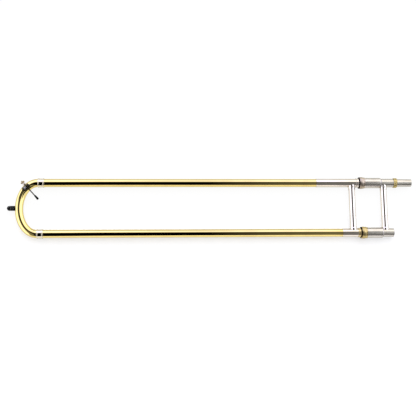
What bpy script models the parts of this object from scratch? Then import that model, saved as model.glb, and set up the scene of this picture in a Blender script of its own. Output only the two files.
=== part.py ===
"""Hand slide of a tenor trombone, closed and lying flat.

Metres, +Z up. +X runs from the slide bow to the mouthpiece and bell ends, and +Y from the mouthpiece-side
tube to the bell-side tube. The origin is at the middle of the slide, on the surface that it lies on.
"""

from math import cos, pi, radians, sin

import bmesh
import bpy
from mathutils import Matrix, Vector

# Fits
SEAT_GAP = 0.00015
REST_GAP = 0.0003
SLIDE_CLEARANCE = 0.00015
PIN_CLEARANCE = 0.00015

# Slide tubes
TUBE_SPACING = 0.0975
OUTER_TUBE_RADIUS = 0.00775
OUTER_TUBE_WALL = 0.0003
OUTER_TUBE_LENGTH = 0.6412
STOCKING_WALL = 0.00025
STOCKING_LENGTH = 0.1100
INNER_TUBE_WALL = 0.0003
INNER_TUBE_BOW_CLEARANCE = 0.0065

# Oversleeves and end rings on the outer tubes
SLEEVE_WALL = 0.0002
BELL_SLEEVE_LENGTH = 0.1148
MOUTHPIECE_SLEEVE_LENGTH = 0.0667
END_RING_WALL = 0.0005
END_RING_BEAD = 0.0003
END_RING_LENGTH = 0.0049
END_RING_TO_MOUTH = 0.0049

# Cork barrels, their mouth rings and corks
BARREL_CLEARANCE = 0.0013
BARREL_WALL = 0.0006
BARREL_LENGTH = 0.0390
BARREL_BACK_WALL = 0.0020
BARREL_ROUNDING = 0.0012
RIM_WALL = 0.00135
RIM_LENGTH = 0.0072
RIM_FRONT = 0.0044
RIM_BULGE_DROP = 0.00075
RIM_EDGE_WALL = 0.00055
RIM_FLARE_LENGTH = 0.0034
RIM_STEP_HEIGHT = 0.0009
RIM_STEP_LENGTH = 0.0028
RIM_LIP_LENGTH = 0.0020
LOCK_SHOULDER_HEIGHT = 0.0006
LOCK_SHOULDER_WIDTH = 0.0012
CORK_LENGTH = 0.0097
CORK_CLEARANCE = 0.0003

# Slide lock
LOCK_LUG_WIDTH = 0.0030
LOCK_LUG_RISE = 0.0019
LOCK_LUG_LENGTH = 0.0011
LOCK_LUG_TURN = radians(30)
LOCK_CLEARANCE = 0.0004
LOCK_KNOB_RADIUS = 0.0012
LOCK_KNOB_SINK = 0.0001
LOCK_KNOB_OVERHANG = 0.0048
LOCK_KNOB_ROOT = 0.0014
LOCK_KNOB_ROUNDING = 0.0008
LOCK_KNOB_TURN = radians(-22)
LOCK_SCREW_RADIUS = 0.0005
LOCK_SCREW_HEAD_RADIUS = 0.0009
LOCK_SCREW_HEAD_HEIGHT = 0.0004
LOCK_SCREW_INSET = 0.0014
LOCK_TURN = radians(30)

# Braces
BRACE_RADIUS = 0.0060
BRACE_WALL = 0.0006
BRACE_JOINT_FROM_BELL_SIDE = 0.0653
BRACE_SPIGOT_LENGTH = 0.0080
BRACE_SPIGOT_WALL = 0.0005
BRACE_TO_RING = 0.0007
INNER_BRACE_FROM_BARREL = 0.0050
FLANGE_FLARE = 0.00105
FLANGE_NECK_WALL = 0.0005
FLANGE_FILLET_HEIGHT = 0.0023
FLANGE_NECK_LENGTH = 0.0030

# Mouthpiece receiver and leadpipe
RECEIVER_WALL = 0.00115
RECEIVER_LENGTH = 0.0208
RECEIVER_SEAT_LENGTH = 0.0060
RECEIVER_TAPER = 0.00055
RECEIVER_ROUNDING = 0.0009
LEADPIPE_LENGTH = 0.2300
LEADPIPE_WALL = 0.0003
LEADPIPE_MOUTH_WALL = 0.00065
LEADPIPE_VENTURI_WALL = 0.00145
LEADPIPE_VENTURI_DEPTH = 0.0150

# Bell end
BELL_NECK_WALL = 0.0005
BELL_NECK_LENGTH = 0.0242
TENON_SEAT_LENGTH = 0.0072
TENON_ROOT_WALL = 0.00105
TENON_TIP_WALL = 0.0006
TENON_EDGE = 0.00015
TENON_LENGTH = 0.0287
THREAD_RING_WALL = 0.0016
THREAD_RING_LENGTH = 0.0068
THREAD_DEPTH = 0.00035
THREAD_CRESTS = 6
THREAD_CREST_WIDTH = 0.00036

# Slide bow, ferrules and bumper
BOW_DEPTH = 0.0340
BOW_WALL = 0.0004
FERRULE_LENGTH = 0.0118
FERRULE_WALL = 0.00045
FERRULE_BEAD_HEIGHT = 0.0004
FERRULE_BEAD_WIDTH = 0.0024
BUMPER_RADIUS = 0.0047
BUMPER_LENGTH = 0.0147
# The bumper's side from its tip: shares of its radius and of its length
BUMPER_PROFILE = (
    (0.0, 0.0), (0.35, 0.02), (0.62, 0.07), (0.82, 0.16), (0.93, 0.30), (0.98, 0.45), (1.0, 0.62),
)
STUD_RADIUS = 0.0020
STUD_LENGTH = 0.0085
STUD_FOOT_RADIUS = 0.0030
STUD_FOOT_HEIGHT = 0.0010

# Water key. Its frame has X out of the bow, Y along the hinge and Z up, from the middle of the bow's tube.
KEY_BOW_ANGLE = radians(52.5)
KEY_SKEW = radians(-5.5)
KEY_SADDLE_LENGTH = 0.0146
KEY_SADDLE_WIDTH = 0.0088
KEY_SADDLE_RISE = 0.00105
KEY_SPRING_TO_SADDLE = 0.00095
KEY_POST_THICKNESS = 0.0012
KEY_POST_RADIUS = 0.0020
KEY_SCREW_RADIUS = 0.0009
KEY_SCREW_HEAD_RADIUS = 0.0016
KEY_SCREW_HEAD_HEIGHT = 0.0008
KEY_SCREW_TAIL = 0.0005
KEY_BARREL_RADIUS = 0.0020
KEY_LEVER_OFFSET = -0.0016
KEY_ARM_LENGTH = 0.0304
KEY_ARM_ROOT_RADIUS = 0.0011
KEY_ARM_TIP_RADIUS = 0.0012
KEY_TOUCH_LENGTH = 0.0098
KEY_TOUCH_RADIUS = 0.0022
KEY_TOUCH_OVERHANG = 0.0030
KEY_TOUCH_WALL = 0.0003
KEY_TOUCH_ROUNDING = 0.0011
KEY_HOOK_RADIUS = 0.0010
KEY_HOOK_REACH = 0.0012
NIPPLE_RADIUS = 0.0026
NIPPLE_FOOT_RADIUS = 0.0042
NIPPLE_FOOT_HEIGHT = 0.0008
NIPPLE_BORE = 0.0015
NIPPLE_HEIGHT = 0.0042
CORK_PAD_RADIUS = 0.0031
CORK_PAD_THICKNESS = 0.0017
CUP_WALL = 0.0006
CUP_BACK = 0.0012
CUP_GRIP = 0.0011
SPRING_WIRE_RADIUS = 0.00025
SPRING_PITCH = 0.0011
SPRING_TURNS = 3.5
SPRING_LEG = 0.0070
SPRING_DROP = 0.0036
SPRING_BEND = 0.0012

# Facets
TUBE_SIDES = 24
SMALL_SIDES = 16
BOW_SIDES = 24
HOOK_SIDES = 10
BOW_STEPS = 30
SPRING_STEPS = 10
ARC_STEPS = 3
RIM_STEPS = 4
WELD_DISTANCE = 0.00001

# Radii that follow from the sizes above
HALF_SPACING = TUBE_SPACING / 2
OUTER_BORE = OUTER_TUBE_RADIUS - OUTER_TUBE_WALL
STOCKING_RADIUS = OUTER_BORE - SLIDE_CLEARANCE
INNER_TUBE_RADIUS = STOCKING_RADIUS - STOCKING_WALL - SEAT_GAP
INNER_BORE = INNER_TUBE_RADIUS - INNER_TUBE_WALL
OVER_INNER_TUBE = INNER_TUBE_RADIUS + SEAT_GAP
OVER_OUTER_TUBE = OUTER_TUBE_RADIUS + SEAT_GAP
SLEEVE_RADIUS = OVER_OUTER_TUBE + SLEEVE_WALL
OVER_SLEEVE = SLEEVE_RADIUS + SEAT_GAP
END_RING_RADIUS = OVER_SLEEVE + END_RING_WALL
BARREL_BORE = SLEEVE_RADIUS + BARREL_CLEARANCE
BARREL_RADIUS = BARREL_BORE + BARREL_WALL
OVER_BARREL = BARREL_RADIUS + SEAT_GAP
RIM_RADIUS = OVER_BARREL + RIM_WALL
RIM_STEP_RADIUS = RIM_RADIUS - RIM_STEP_HEIGHT
AXIS_HEIGHT = RIM_RADIUS
LOCK_LUG_RADIUS = SLEEVE_RADIUS + LOCK_LUG_RISE
LOCK_POCKET_RADIUS = LOCK_LUG_RADIUS + LOCK_CLEARANCE
FLANGE_NECK_RADIUS = BRACE_RADIUS + SEAT_GAP + FLANGE_NECK_WALL
FLANGE_FOOT_RADIUS = FLANGE_NECK_RADIUS + FLANGE_FLARE
RECEIVER_RADIUS = OVER_INNER_TUBE + RECEIVER_WALL
LEADPIPE_RADIUS = INNER_BORE - SEAT_GAP
LEADPIPE_MOUTH_RADIUS = LEADPIPE_RADIUS - LEADPIPE_MOUTH_WALL
RECEIVER_MOUTH_RADIUS = LEADPIPE_MOUTH_RADIUS + RECEIVER_TAPER
TENON_ROOT_RADIUS = INNER_BORE + TENON_ROOT_WALL
TENON_TIP_RADIUS = INNER_BORE + TENON_TIP_WALL
OVER_TENON = TENON_ROOT_RADIUS + SEAT_GAP
BELL_NECK_RADIUS = OVER_TENON + BELL_NECK_WALL
THREAD_RING_RADIUS = OVER_TENON + THREAD_RING_WALL
FERRULE_RADIUS = OVER_OUTER_TUBE + FERRULE_WALL
KEY_SADDLE_TOP = OUTER_TUBE_RADIUS + KEY_SADDLE_RISE
SPRING_COIL_RADIUS = KEY_BARREL_RADIUS + SEAT_GAP + SPRING_WIRE_RADIUS
KEY_HINGE_HEIGHT = KEY_SADDLE_TOP + KEY_SPRING_TO_SADDLE + SPRING_WIRE_RADIUS + SPRING_COIL_RADIUS

# Places along X, first measured from the barrels' mouths
LOCK_POCKET_END = RIM_LIP_LENGTH + REST_GAP + LOCK_LUG_LENGTH + REST_GAP
OUTER_BRACE_X = -(END_RING_TO_MOUTH + END_RING_LENGTH + BRACE_TO_RING + FLANGE_FOOT_RADIUS)
INNER_BRACE_X = BARREL_LENGTH + INNER_BRACE_FROM_BARREL
CORK_FACE = BARREL_LENGTH - BARREL_BACK_WALL - REST_GAP - CORK_LENGTH
OUTER_TUBE_END = CORK_FACE - REST_GAP
OUTER_TUBE_START = OUTER_TUBE_END - OUTER_TUBE_LENGTH
FERRULE_START = OUTER_TUBE_START - REST_GAP / 2 - FERRULE_LENGTH / 2
BUMPER_TIP = FERRULE_START - BOW_DEPTH - OUTER_TUBE_RADIUS - BUMPER_LENGTH
NECK_START = BARREL_LENGTH + REST_GAP
NECK_END = NECK_START + BELL_NECK_LENGTH
THREAD_RING_START = NECK_END + REST_GAP
TENON_END = THREAD_RING_START + THREAD_RING_LENGTH + TENON_LENGTH
MOUTH_X = -(BUMPER_TIP + TENON_END) / 2
INNER_TUBE_START = FERRULE_START + FERRULE_LENGTH + INNER_TUBE_BOW_CLEARANCE

# Directions for turned pieces, and the two sides of the slide
ALONG_X = (Vector((1, 0, 0)), Vector((0, 0, -1)))
AGAINST_X = (Vector((-1, 0, 0)), Vector((0, 0, 1)))
SIDES = (("bell_side", +1), ("mouthpiece_side", -1))

# Surface finishes: colour, metallic, roughness
BRASS = ((0.83, 0.60, 0.22, 1.0), 1.0, 0.15)
NICKEL_SILVER = ((0.78, 0.75, 0.70, 1.0), 1.0, 0.18)
CHROME = ((0.82, 0.83, 0.84, 1.0), 1.0, 0.08)
STEEL = ((0.55, 0.55, 0.56, 1.0), 1.0, 0.30)
RUBBER = ((0.02, 0.02, 0.022, 1.0), 0.0, 0.55)
CORK = ((0.55, 0.38, 0.22, 1.0), 0.0, 0.90)
END_RING_FINISHES = {"bell_side": NICKEL_SILVER, "mouthpiece_side": BRASS}


def clear_scene():
    for obj in list(bpy.data.objects):
        bpy.data.objects.remove(obj, do_unlink=True)


def new_collection(name):
    collection = bpy.data.collections.new(name)
    bpy.context.scene.collection.children.link(collection)
    return collection


def material(name, finish):
    colour, metallic, roughness = finish
    made = bpy.data.materials.new(name)
    made.use_nodes = True
    shader = made.node_tree.nodes["Principled BSDF"]
    shader.inputs["Base Color"].default_value = colour
    shader.inputs["Metallic"].default_value = metallic
    shader.inputs["Roughness"].default_value = roughness
    return made


def frame_at(origin, direction, side):
    """World matrix with local Z along direction and local X along side."""
    z = direction.normalized()
    x = side.normalized()
    y = z.cross(x)
    rotation = Matrix((x, y, z)).transposed().to_4x4()
    return Matrix.Translation(origin) @ rotation


def on_tube(side, x=0.0):
    """Point on a tube's axis: side +1 is the bell side and -1 the mouthpiece side, x is from the mouths."""
    return Vector((MOUTH_X + x, side * HALF_SPACING, AXIS_HEIGHT))


def link(obj, finish):
    """Puts a piece in the slide's collection with a material of its own, or a cutter in the other one."""
    if finish is None:
        CUTTERS.objects.link(obj)
        obj.hide_render = True
        obj.display_type = "WIRE"
    else:
        PARTS.objects.link(obj)
        obj.data.materials.append(material(obj.name, finish))


def turned(name, outline, finish, place, sides=TUBE_SIDES):
    """A piece turned about its local Z. The outline's points are (radius, height), outer side first and
    downwards; one that starts and ends on the axis is solid, and any other is closed into a ring."""
    solid = outline[0][0] == 0 and outline[-1][0] == 0
    mesh = bpy.data.meshes.new(name)
    points = [(radius, 0.0, height) for radius, height in outline]
    edges = [(i, i + 1) for i in range(len(points) - 1)]
    if not solid:
        edges.append((len(points) - 1, 0))
    mesh.from_pydata(points, edges, [])
    obj = bpy.data.objects.new(name, mesh)
    screw = obj.modifiers.new("turn", "SCREW")
    screw.axis = "Z"
    screw.angle = 2 * pi
    screw.steps = sides
    screw.render_steps = sides
    screw.use_merge_vertices = True
    screw.merge_threshold = WELD_DISTANCE
    screw.use_smooth_shade = True
    link(obj, finish)
    obj.matrix_world = place
    return obj


def ring(name, outer, inner, low, high, finish, place, sides=TUBE_SIDES, chamfer=0.0):
    """A turned tube from low to high, with its outer edges chamfered."""
    outline = [(inner, high), (outer - chamfer, high)]
    if chamfer:
        outline += [(outer, high - chamfer), (outer, low + chamfer)]
        outline += [(outer - chamfer, low), (inner, low)]
    else:
        outline += [(outer, low), (inner, low)]
    return turned(name, outline, finish, place, sides)


def rod(name, radius, low, high, finish, place, sides=SMALL_SIDES):
    outline = [(0.0, high), (radius, high), (radius, low), (0.0, low)]
    return turned(name, outline, finish, place, sides)


def block(name, low, high, finish, place):
    """A box between two corners in the place's own frame."""
    mesh = bpy.data.meshes.new(name)
    shape = bmesh.new()
    bmesh.ops.create_cube(shape, size=1.0)
    size = Vector(high) - Vector(low)
    middle = (Vector(high) + Vector(low)) / 2
    bmesh.ops.scale(shape, vec=size, verts=shape.verts)
    bmesh.ops.translate(shape, vec=middle, verts=shape.verts)
    shape.to_mesh(mesh)
    shape.free()
    obj = bpy.data.objects.new(name, mesh)
    link(obj, finish)
    obj.matrix_world = place
    return obj


def swept(name, points, radius, sides, finish, place, capped=True):
    """A round bar along the points, or an open skin of one, as a welded mesh."""
    curve = bpy.data.curves.new(name + "_path", "CURVE")
    curve.dimensions = "3D"
    curve.bevel_depth = radius
    curve.bevel_resolution = (sides - 4) // 2
    curve.use_fill_caps = capped
    spline = curve.splines.new("POLY")
    spline.points.add(len(points) - 1)
    for knot, point in zip(spline.points, points):
        knot.co = (*point, 1.0)
    path = bpy.data.objects.new(name + "_path", curve)
    bpy.context.scene.collection.objects.link(path)
    depsgraph = bpy.context.evaluated_depsgraph_get()
    mesh = bpy.data.meshes.new_from_object(path.evaluated_get(depsgraph))
    bpy.data.objects.remove(path, do_unlink=True)
    shape = bmesh.new()
    shape.from_mesh(mesh)
    bmesh.ops.remove_doubles(shape, verts=shape.verts, dist=WELD_DISTANCE)
    bmesh.ops.recalc_face_normals(shape, faces=shape.faces)
    shape.to_mesh(mesh)
    shape.free()
    mesh.name = name
    mesh.shade_smooth()
    obj = bpy.data.objects.new(name, mesh)
    link(obj, finish)
    obj.matrix_world = place
    return obj


def combine(obj, other, operation):
    boolean = obj.modifiers.new(operation.lower(), "BOOLEAN")
    boolean.operation = operation
    boolean.object = other
    boolean.solver = "EXACT"
    return obj


def cut(obj, *cutters):
    for cutter in cutters:
        combine(obj, cutter, "DIFFERENCE")
    return obj


def join(obj, *others):
    for other in others:
        combine(obj, other, "UNION")
    return obj


def body_frame(name, origin):
    """An empty that carries the pieces of one moving body, on its joint's axis."""
    empty = bpy.data.objects.new(name, None)
    PARTS.objects.link(empty)
    empty.matrix_world = Matrix.Translation(origin)
    return empty


def carry(empty, *pieces):
    for piece in pieces:
        piece.parent = empty
        piece.matrix_parent_inverse = empty.matrix_world.inverted()


def arc(centre, radius, start, end, steps=ARC_STEPS):
    """Points of a round stretch of an outline, from one angle to another."""
    angles = [start + (end - start) * i / steps for i in range(steps + 1)]
    return [(centre[0] + radius * cos(a), centre[1] + radius * sin(a)) for a in angles]


def inner_tubes():
    """The two inner slide tubes and the stockings that they run on at their far ends."""
    pieces = []
    ends = {
        "bell_side": NECK_END - TENON_SEAT_LENGTH - REST_GAP,
        "mouthpiece_side": NECK_START + RECEIVER_SEAT_LENGTH,
    }
    for name, side in SIDES:
        place = frame_at(on_tube(side), *ALONG_X)
        start = INNER_TUBE_START
        pieces.append(
            ring("inner_tube_" + name, INNER_TUBE_RADIUS, INNER_BORE, start, ends[name], CHROME, place)
        )
        stocking_end = start + STOCKING_LENGTH
        pieces.append(
            ring("stocking_" + name, STOCKING_RADIUS, OVER_INNER_TUBE, start, stocking_end, CHROME, place)
        )
    return pieces


def barrel_outline(mouth, shoulder):
    """Outline of a cork barrel, open at the mouth and closed on the inner tube at its back."""
    back = BARREL_LENGTH
    inside = back - BARREL_BACK_WALL
    rounding = arc((BARREL_RADIUS - BARREL_ROUNDING, back - BARREL_ROUNDING), BARREL_ROUNDING, pi / 2, 0)
    outline = [(OVER_INNER_TUBE, back)] + rounding
    if shoulder:
        high = RIM_LENGTH + REST_GAP + LOCK_SHOULDER_WIDTH
        low = RIM_LENGTH + REST_GAP
        raised = BARREL_RADIUS + LOCK_SHOULDER_HEIGHT
        outline += [(BARREL_RADIUS, high), (raised, high), (raised, low), (BARREL_RADIUS, low)]
    outline += [(BARREL_RADIUS, mouth), (BARREL_BORE, mouth), (BARREL_BORE, inside), (OVER_INNER_TUBE, inside)]
    return outline


def mouth_ring_outline():
    """Outline of the ring at a barrel's mouth: a low step, a wide bulge, a flared front edge and a lip inside."""
    bulge_end = RIM_LENGTH - RIM_STEP_LENGTH
    middle = (bulge_end - RIM_FRONT) / 2
    outline = [(OVER_BARREL, RIM_LENGTH), (RIM_STEP_RADIUS, RIM_LENGTH), (RIM_STEP_RADIUS, bulge_end)]
    for i in range(2 * RIM_STEPS + 1):
        share = 1 - i / RIM_STEPS
        outline.append((RIM_RADIUS - RIM_BULGE_DROP * share**2, middle + (bulge_end - middle) * share))
    outline.append((RIM_RADIUS - RIM_BULGE_DROP - RIM_EDGE_WALL, -RIM_FRONT))
    return outline + [(BARREL_BORE, RIM_FLARE_LENGTH - RIM_FRONT), (BARREL_BORE, RIM_LIP_LENGTH)]


def barrels():
    """The cork barrels, the fixed ring at the bell-side mouth and the corks at their backs."""
    bell = frame_at(on_tube(+1), *ALONG_X)
    mouthpiece = frame_at(on_tube(-1), *ALONG_X)
    pieces = [
        turned("cork_barrel_bell_side", barrel_outline(RIM_LIP_LENGTH + REST_GAP, False), NICKEL_SILVER, bell)
    ]
    lock_mouth = LOCK_POCKET_END + REST_GAP
    lock_barrel = turned("cork_barrel_mouthpiece_side", barrel_outline(lock_mouth, True), NICKEL_SILVER, mouthpiece)
    pieces.append(cut(lock_barrel, lock_screw_slot(mouthpiece)))
    rim_outline = mouth_ring_outline() + [(OVER_BARREL, RIM_LIP_LENGTH)]
    pieces.append(turned("barrel_rim_bell_side", rim_outline, NICKEL_SILVER, bell))
    for name, side in SIDES:
        place = frame_at(on_tube(side), *ALONG_X)
        outer = BARREL_BORE - CORK_CLEARANCE
        cork = ring("cork_" + name, outer, OVER_INNER_TUBE, CORK_FACE, CORK_FACE + CORK_LENGTH, CORK, place)
        pieces.append(cork)
    return pieces


def lock_screw_place(place):
    """Where the lock ring's guide screw stands: its own Z points out through the ring, on the inner side."""
    across = place.to_3x3() @ Vector((0, 1, 0))
    at = place @ Vector((0, 0, RIM_LENGTH - LOCK_SCREW_INSET))
    return frame_at(at, across, Vector((1, 0, 0)))


def lock_screw_slot(place):
    """A slot through the barrel's wall, long enough for the guide screw to turn with the ring."""
    half_width = LOCK_SCREW_RADIUS + PIN_CLEARANCE
    reach = BARREL_RADIUS * sin(LOCK_TURN / 2) + LOCK_SCREW_RADIUS + 2 * PIN_CLEARANCE
    low = (-half_width, -reach, BARREL_BORE * cos(LOCK_TURN / 2) - BARREL_WALL)
    high = (half_width, reach, BARREL_RADIUS + BARREL_WALL)
    middle = place @ Matrix.Rotation(LOCK_TURN / 2, 4, "Z")
    return block("cut_lock_screw_slot", low, high, None, lock_screw_place(middle))


def slide_lock():
    """The lock ring turns on its barrel and traps the outer slide's lug behind its notched lip."""
    place = frame_at(on_tube(-1), *ALONG_X)
    outline = mouth_ring_outline()
    outline += [(LOCK_POCKET_RADIUS, RIM_LIP_LENGTH), (LOCK_POCKET_RADIUS, LOCK_POCKET_END)]
    outline.append((OVER_BARREL, LOCK_POCKET_END))
    lock_ring = turned("slide_lock_ring", outline, BRASS, place)
    half_notch = LOCK_LUG_WIDTH / 2 + LOCK_CLEARANCE
    near_corner = (-RIM_FRONT - REST_GAP, -half_notch, 0.0)
    far_corner = (LOCK_POCKET_END, half_notch, LOCK_POCKET_RADIUS)
    notch = block("cut_lock_notch", near_corner, far_corner, None, lug_place())
    screw_place = lock_screw_place(place)
    hole = rod("cut_lock_screw_hole", LOCK_SCREW_RADIUS + PIN_CLEARANCE, 0.0, 2 * RIM_RADIUS, None, screw_place)
    join(lock_ring, lock_knob(place))
    cut(lock_ring, notch, hole)
    under = RIM_STEP_RADIUS + SEAT_GAP
    top = under + LOCK_SCREW_HEAD_HEIGHT
    outline = [(0.0, top), (LOCK_SCREW_HEAD_RADIUS, top), (LOCK_SCREW_HEAD_RADIUS, under)]
    outline += [(LOCK_SCREW_RADIUS, under), (LOCK_SCREW_RADIUS, BARREL_BORE), (0.0, BARREL_BORE)]
    screw = turned("slide_lock_screw", outline, STEEL, screw_place, SMALL_SIDES)
    return [lock_ring, screw]


def lock_knob(place):
    """A round-ended thumb knob that stands forward from the lock ring's front edge."""
    turn = Matrix.Rotation(LOCK_KNOB_TURN, 4, "Z")
    out = (place @ turn).to_3x3() @ Vector((0, -1, 0))
    centre = place.translation + out * (RIM_RADIUS - LOCK_KNOB_SINK)
    rounding = LOCK_KNOB_ROUNDING
    outline = [(0.0, LOCK_KNOB_OVERHANG)]
    outline += arc((LOCK_KNOB_RADIUS - rounding, LOCK_KNOB_OVERHANG - rounding), rounding, pi / 2, 0)
    outline += [(LOCK_KNOB_RADIUS, -LOCK_KNOB_ROOT), (0.0, -LOCK_KNOB_ROOT)]
    return turned("join_lock_knob", outline, None, frame_at(centre, *AGAINST_X), SMALL_SIDES)


def lug_place():
    """The lock lug's frame, with X along the tube and Z out from the tube's axis."""
    out = Vector((0, -cos(LOCK_LUG_TURN), -sin(LOCK_LUG_TURN)))
    return frame_at(on_tube(-1), out, Vector((1, 0, 0)))


def outer_tubes():
    """Outer tubes, their oversleeves and end rings, and the lug that the lock ring traps."""
    pieces = []
    lengths = {"bell_side": BELL_SLEEVE_LENGTH, "mouthpiece_side": MOUTHPIECE_SLEEVE_LENGTH}
    for name, side in SIDES:
        place = frame_at(on_tube(side), *ALONG_X)
        pieces.append(
            ring("outer_tube_" + name, OUTER_TUBE_RADIUS, OUTER_BORE, OUTER_TUBE_START, OUTER_TUBE_END, BRASS, place)
        )
        start = OUTER_TUBE_END - lengths[name]
        pieces.append(
            ring("oversleeve_" + name, SLEEVE_RADIUS, OVER_OUTER_TUBE, start, OUTER_TUBE_END, NICKEL_SILVER, place)
        )
        pieces.append(turned("end_ring_" + name, end_ring_outline(), END_RING_FINISHES[name], place))
    pieces.append(lock_lug())
    return pieces


def end_ring_outline():
    """A thin collar with a bead at each end."""
    high = -END_RING_TO_MOUTH
    low = high - END_RING_LENGTH
    outline = [(OVER_SLEEVE, high)]
    for middle in (high - END_RING_BEAD, low + END_RING_BEAD):
        outline += arc((END_RING_RADIUS, middle), END_RING_BEAD, pi / 2, -pi / 2)
    return outline + [(OVER_SLEEVE, low)]


def lock_lug():
    """A block on the mouthpiece-side oversleeve, in the pocket behind the lock ring's lip."""
    low = RIM_LIP_LENGTH + REST_GAP
    half = LOCK_LUG_WIDTH / 2
    far_corner = (low + LOCK_LUG_LENGTH, half, LOCK_LUG_RADIUS)
    lug = block("lock_lug", (low, -half, OUTER_BORE), far_corner, BRASS, lug_place())
    sleeve = rod(
        "cut_lug_seat", OVER_SLEEVE, -RIM_LENGTH, 2 * RIM_LENGTH, None, frame_at(on_tube(-1), *ALONG_X), TUBE_SIDES
    )
    return cut(lug, sleeve)


def flange_outline(seat_radius):
    """A flared foot around a brace's end. Heights are from the tube's axis, which the skirt reaches down to."""
    bore = BRACE_RADIUS + SEAT_GAP
    foot = seat_radius + SEAT_GAP
    shoulder = foot + FLANGE_FILLET_HEIGHT
    top = shoulder + FLANGE_NECK_LENGTH
    outline = [(bore, top), (FLANGE_NECK_RADIUS, top)]
    for i in range(ARC_STEPS + 1):
        angle = pi / 2 * i / ARC_STEPS
        radius = FLANGE_NECK_RADIUS + FLANGE_FLARE * (1 - cos(angle))
        outline.append((radius, shoulder - FLANGE_FILLET_HEIGHT * sin(angle)))
    return outline + [(FLANGE_FOOT_RADIUS, 0.0), (bore, 0.0)]


def brace(name, x, radii, barrels_beside=False):
    """A brace across the tubes: a long tube from the bell side, a short one from the mouthpiece side that
    enters it by a spigot, and a flange at each end. radii are the seats' radii, bell side first. Pieces that
    stand close behind the barrels are cut clear of them."""
    bell_place = frame_at(on_tube(+1, x), Vector((0, -1, 0)), Vector((1, 0, 0)))
    mouthpiece_place = frame_at(on_tube(-1, x), Vector((0, 1, 0)), Vector((1, 0, 0)))
    bell_radius, mouthpiece_radius = radii
    bore = BRACE_RADIUS - BRACE_WALL
    joint = BRACE_JOINT_FROM_BELL_SIDE
    long_tube = ring(
        name + "_tube_bell_side", BRACE_RADIUS, bore, bell_radius + REST_GAP, joint, NICKEL_SILVER, bell_place,
        chamfer=SEAT_GAP,
    )
    short_end = TUBE_SPACING - joint - REST_GAP
    spigot = bore - SEAT_GAP
    inside = spigot - BRACE_SPIGOT_WALL
    outline = [(inside, short_end + BRACE_SPIGOT_LENGTH), (spigot, short_end + BRACE_SPIGOT_LENGTH)]
    outline += [(spigot, short_end), (BRACE_RADIUS - SEAT_GAP, short_end), (BRACE_RADIUS, short_end - SEAT_GAP)]
    outline += [(BRACE_RADIUS, mouthpiece_radius + REST_GAP), (inside, mouthpiece_radius + REST_GAP)]
    short_tube = turned(name + "_tube_mouthpiece_side", outline, NICKEL_SILVER, mouthpiece_place)
    pieces = [long_tube, short_tube]
    places = (bell_place, mouthpiece_place)
    for (end, side), place, seat, tube in zip(SIDES, places, radii, (long_tube, short_tube)):
        flange = turned(name + "_flange_" + end, flange_outline(seat), NICKEL_SILVER, place)
        along = frame_at(on_tube(side), *ALONG_X)
        reach = 2 * FLANGE_FOOT_RADIUS
        cut(flange, rod(f"cut_{name}_seat_{end}", seat + SEAT_GAP, x - reach, x + reach, None, along, TUBE_SIDES))
        if barrels_beside:
            clear = rod(
                f"cut_{name}_barrel_{end}", BARREL_RADIUS + REST_GAP, 0.0, BARREL_LENGTH + REST_GAP, None, along,
                TUBE_SIDES,
            )
            cut(flange, clear)
            cut(tube, clear)
        pieces.append(flange)
    return pieces


def mouthpiece_end():
    """The receiver that the mouthpiece's shank seats in, and the leadpipe behind it."""
    place = frame_at(on_tube(-1), *ALONG_X)
    end = NECK_START + RECEIVER_LENGTH
    mouth = NECK_START + RECEIVER_SEAT_LENGTH
    seat = mouth + REST_GAP
    rounding = RECEIVER_ROUNDING
    outline = [(RECEIVER_MOUTH_RADIUS, end)]
    outline += arc((RECEIVER_RADIUS - rounding, end - rounding), rounding, pi / 2, 0)
    outline += [(RECEIVER_RADIUS, NECK_START), (OVER_INNER_TUBE, NECK_START), (OVER_INNER_TUBE, seat)]
    outline.append((LEADPIPE_MOUTH_RADIUS, seat))
    receiver = turned("mouthpiece_receiver", outline, NICKEL_SILVER, place)
    far = mouth - LEADPIPE_LENGTH
    venturi = (LEADPIPE_RADIUS - LEADPIPE_VENTURI_WALL, mouth - LEADPIPE_VENTURI_DEPTH)
    outline = [(LEADPIPE_MOUTH_RADIUS, mouth), (LEADPIPE_RADIUS, mouth), (LEADPIPE_RADIUS, far)]
    outline += [(LEADPIPE_RADIUS - LEADPIPE_WALL, far), venturi]
    leadpipe = turned("leadpipe", outline, NICKEL_SILVER, place)
    return [receiver, leadpipe]


def bell_end():
    """The neck behind the bell-side barrel, the threaded ring and the tapered tenon that seats in the bell."""
    place = frame_at(on_tube(+1), *ALONG_X)
    seat = NECK_END - TENON_SEAT_LENGTH
    edge = REST_GAP
    outline = [(OVER_TENON, NECK_END), (BELL_NECK_RADIUS - edge, NECK_END), (BELL_NECK_RADIUS, NECK_END - edge)]
    outline += [(BELL_NECK_RADIUS, NECK_START), (OVER_INNER_TUBE, NECK_START), (OVER_INNER_TUBE, seat)]
    outline.append((OVER_TENON, seat))
    neck = turned("bell_neck", outline, NICKEL_SILVER, place)
    thread = turned("bell_thread_ring", thread_outline(), BRASS, place)
    ring_end = THREAD_RING_START + THREAD_RING_LENGTH
    tip_edge = TENON_TIP_RADIUS - TENON_EDGE
    outline = [(INNER_BORE, TENON_END), (tip_edge, TENON_END), (TENON_TIP_RADIUS, TENON_END - TENON_EDGE)]
    outline += [(TENON_ROOT_RADIUS, ring_end), (TENON_ROOT_RADIUS, seat + REST_GAP), (INNER_BORE, seat + REST_GAP)]
    tenon = turned("bell_tenon", outline, NICKEL_SILVER, place)
    return [neck, thread, tenon]


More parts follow.
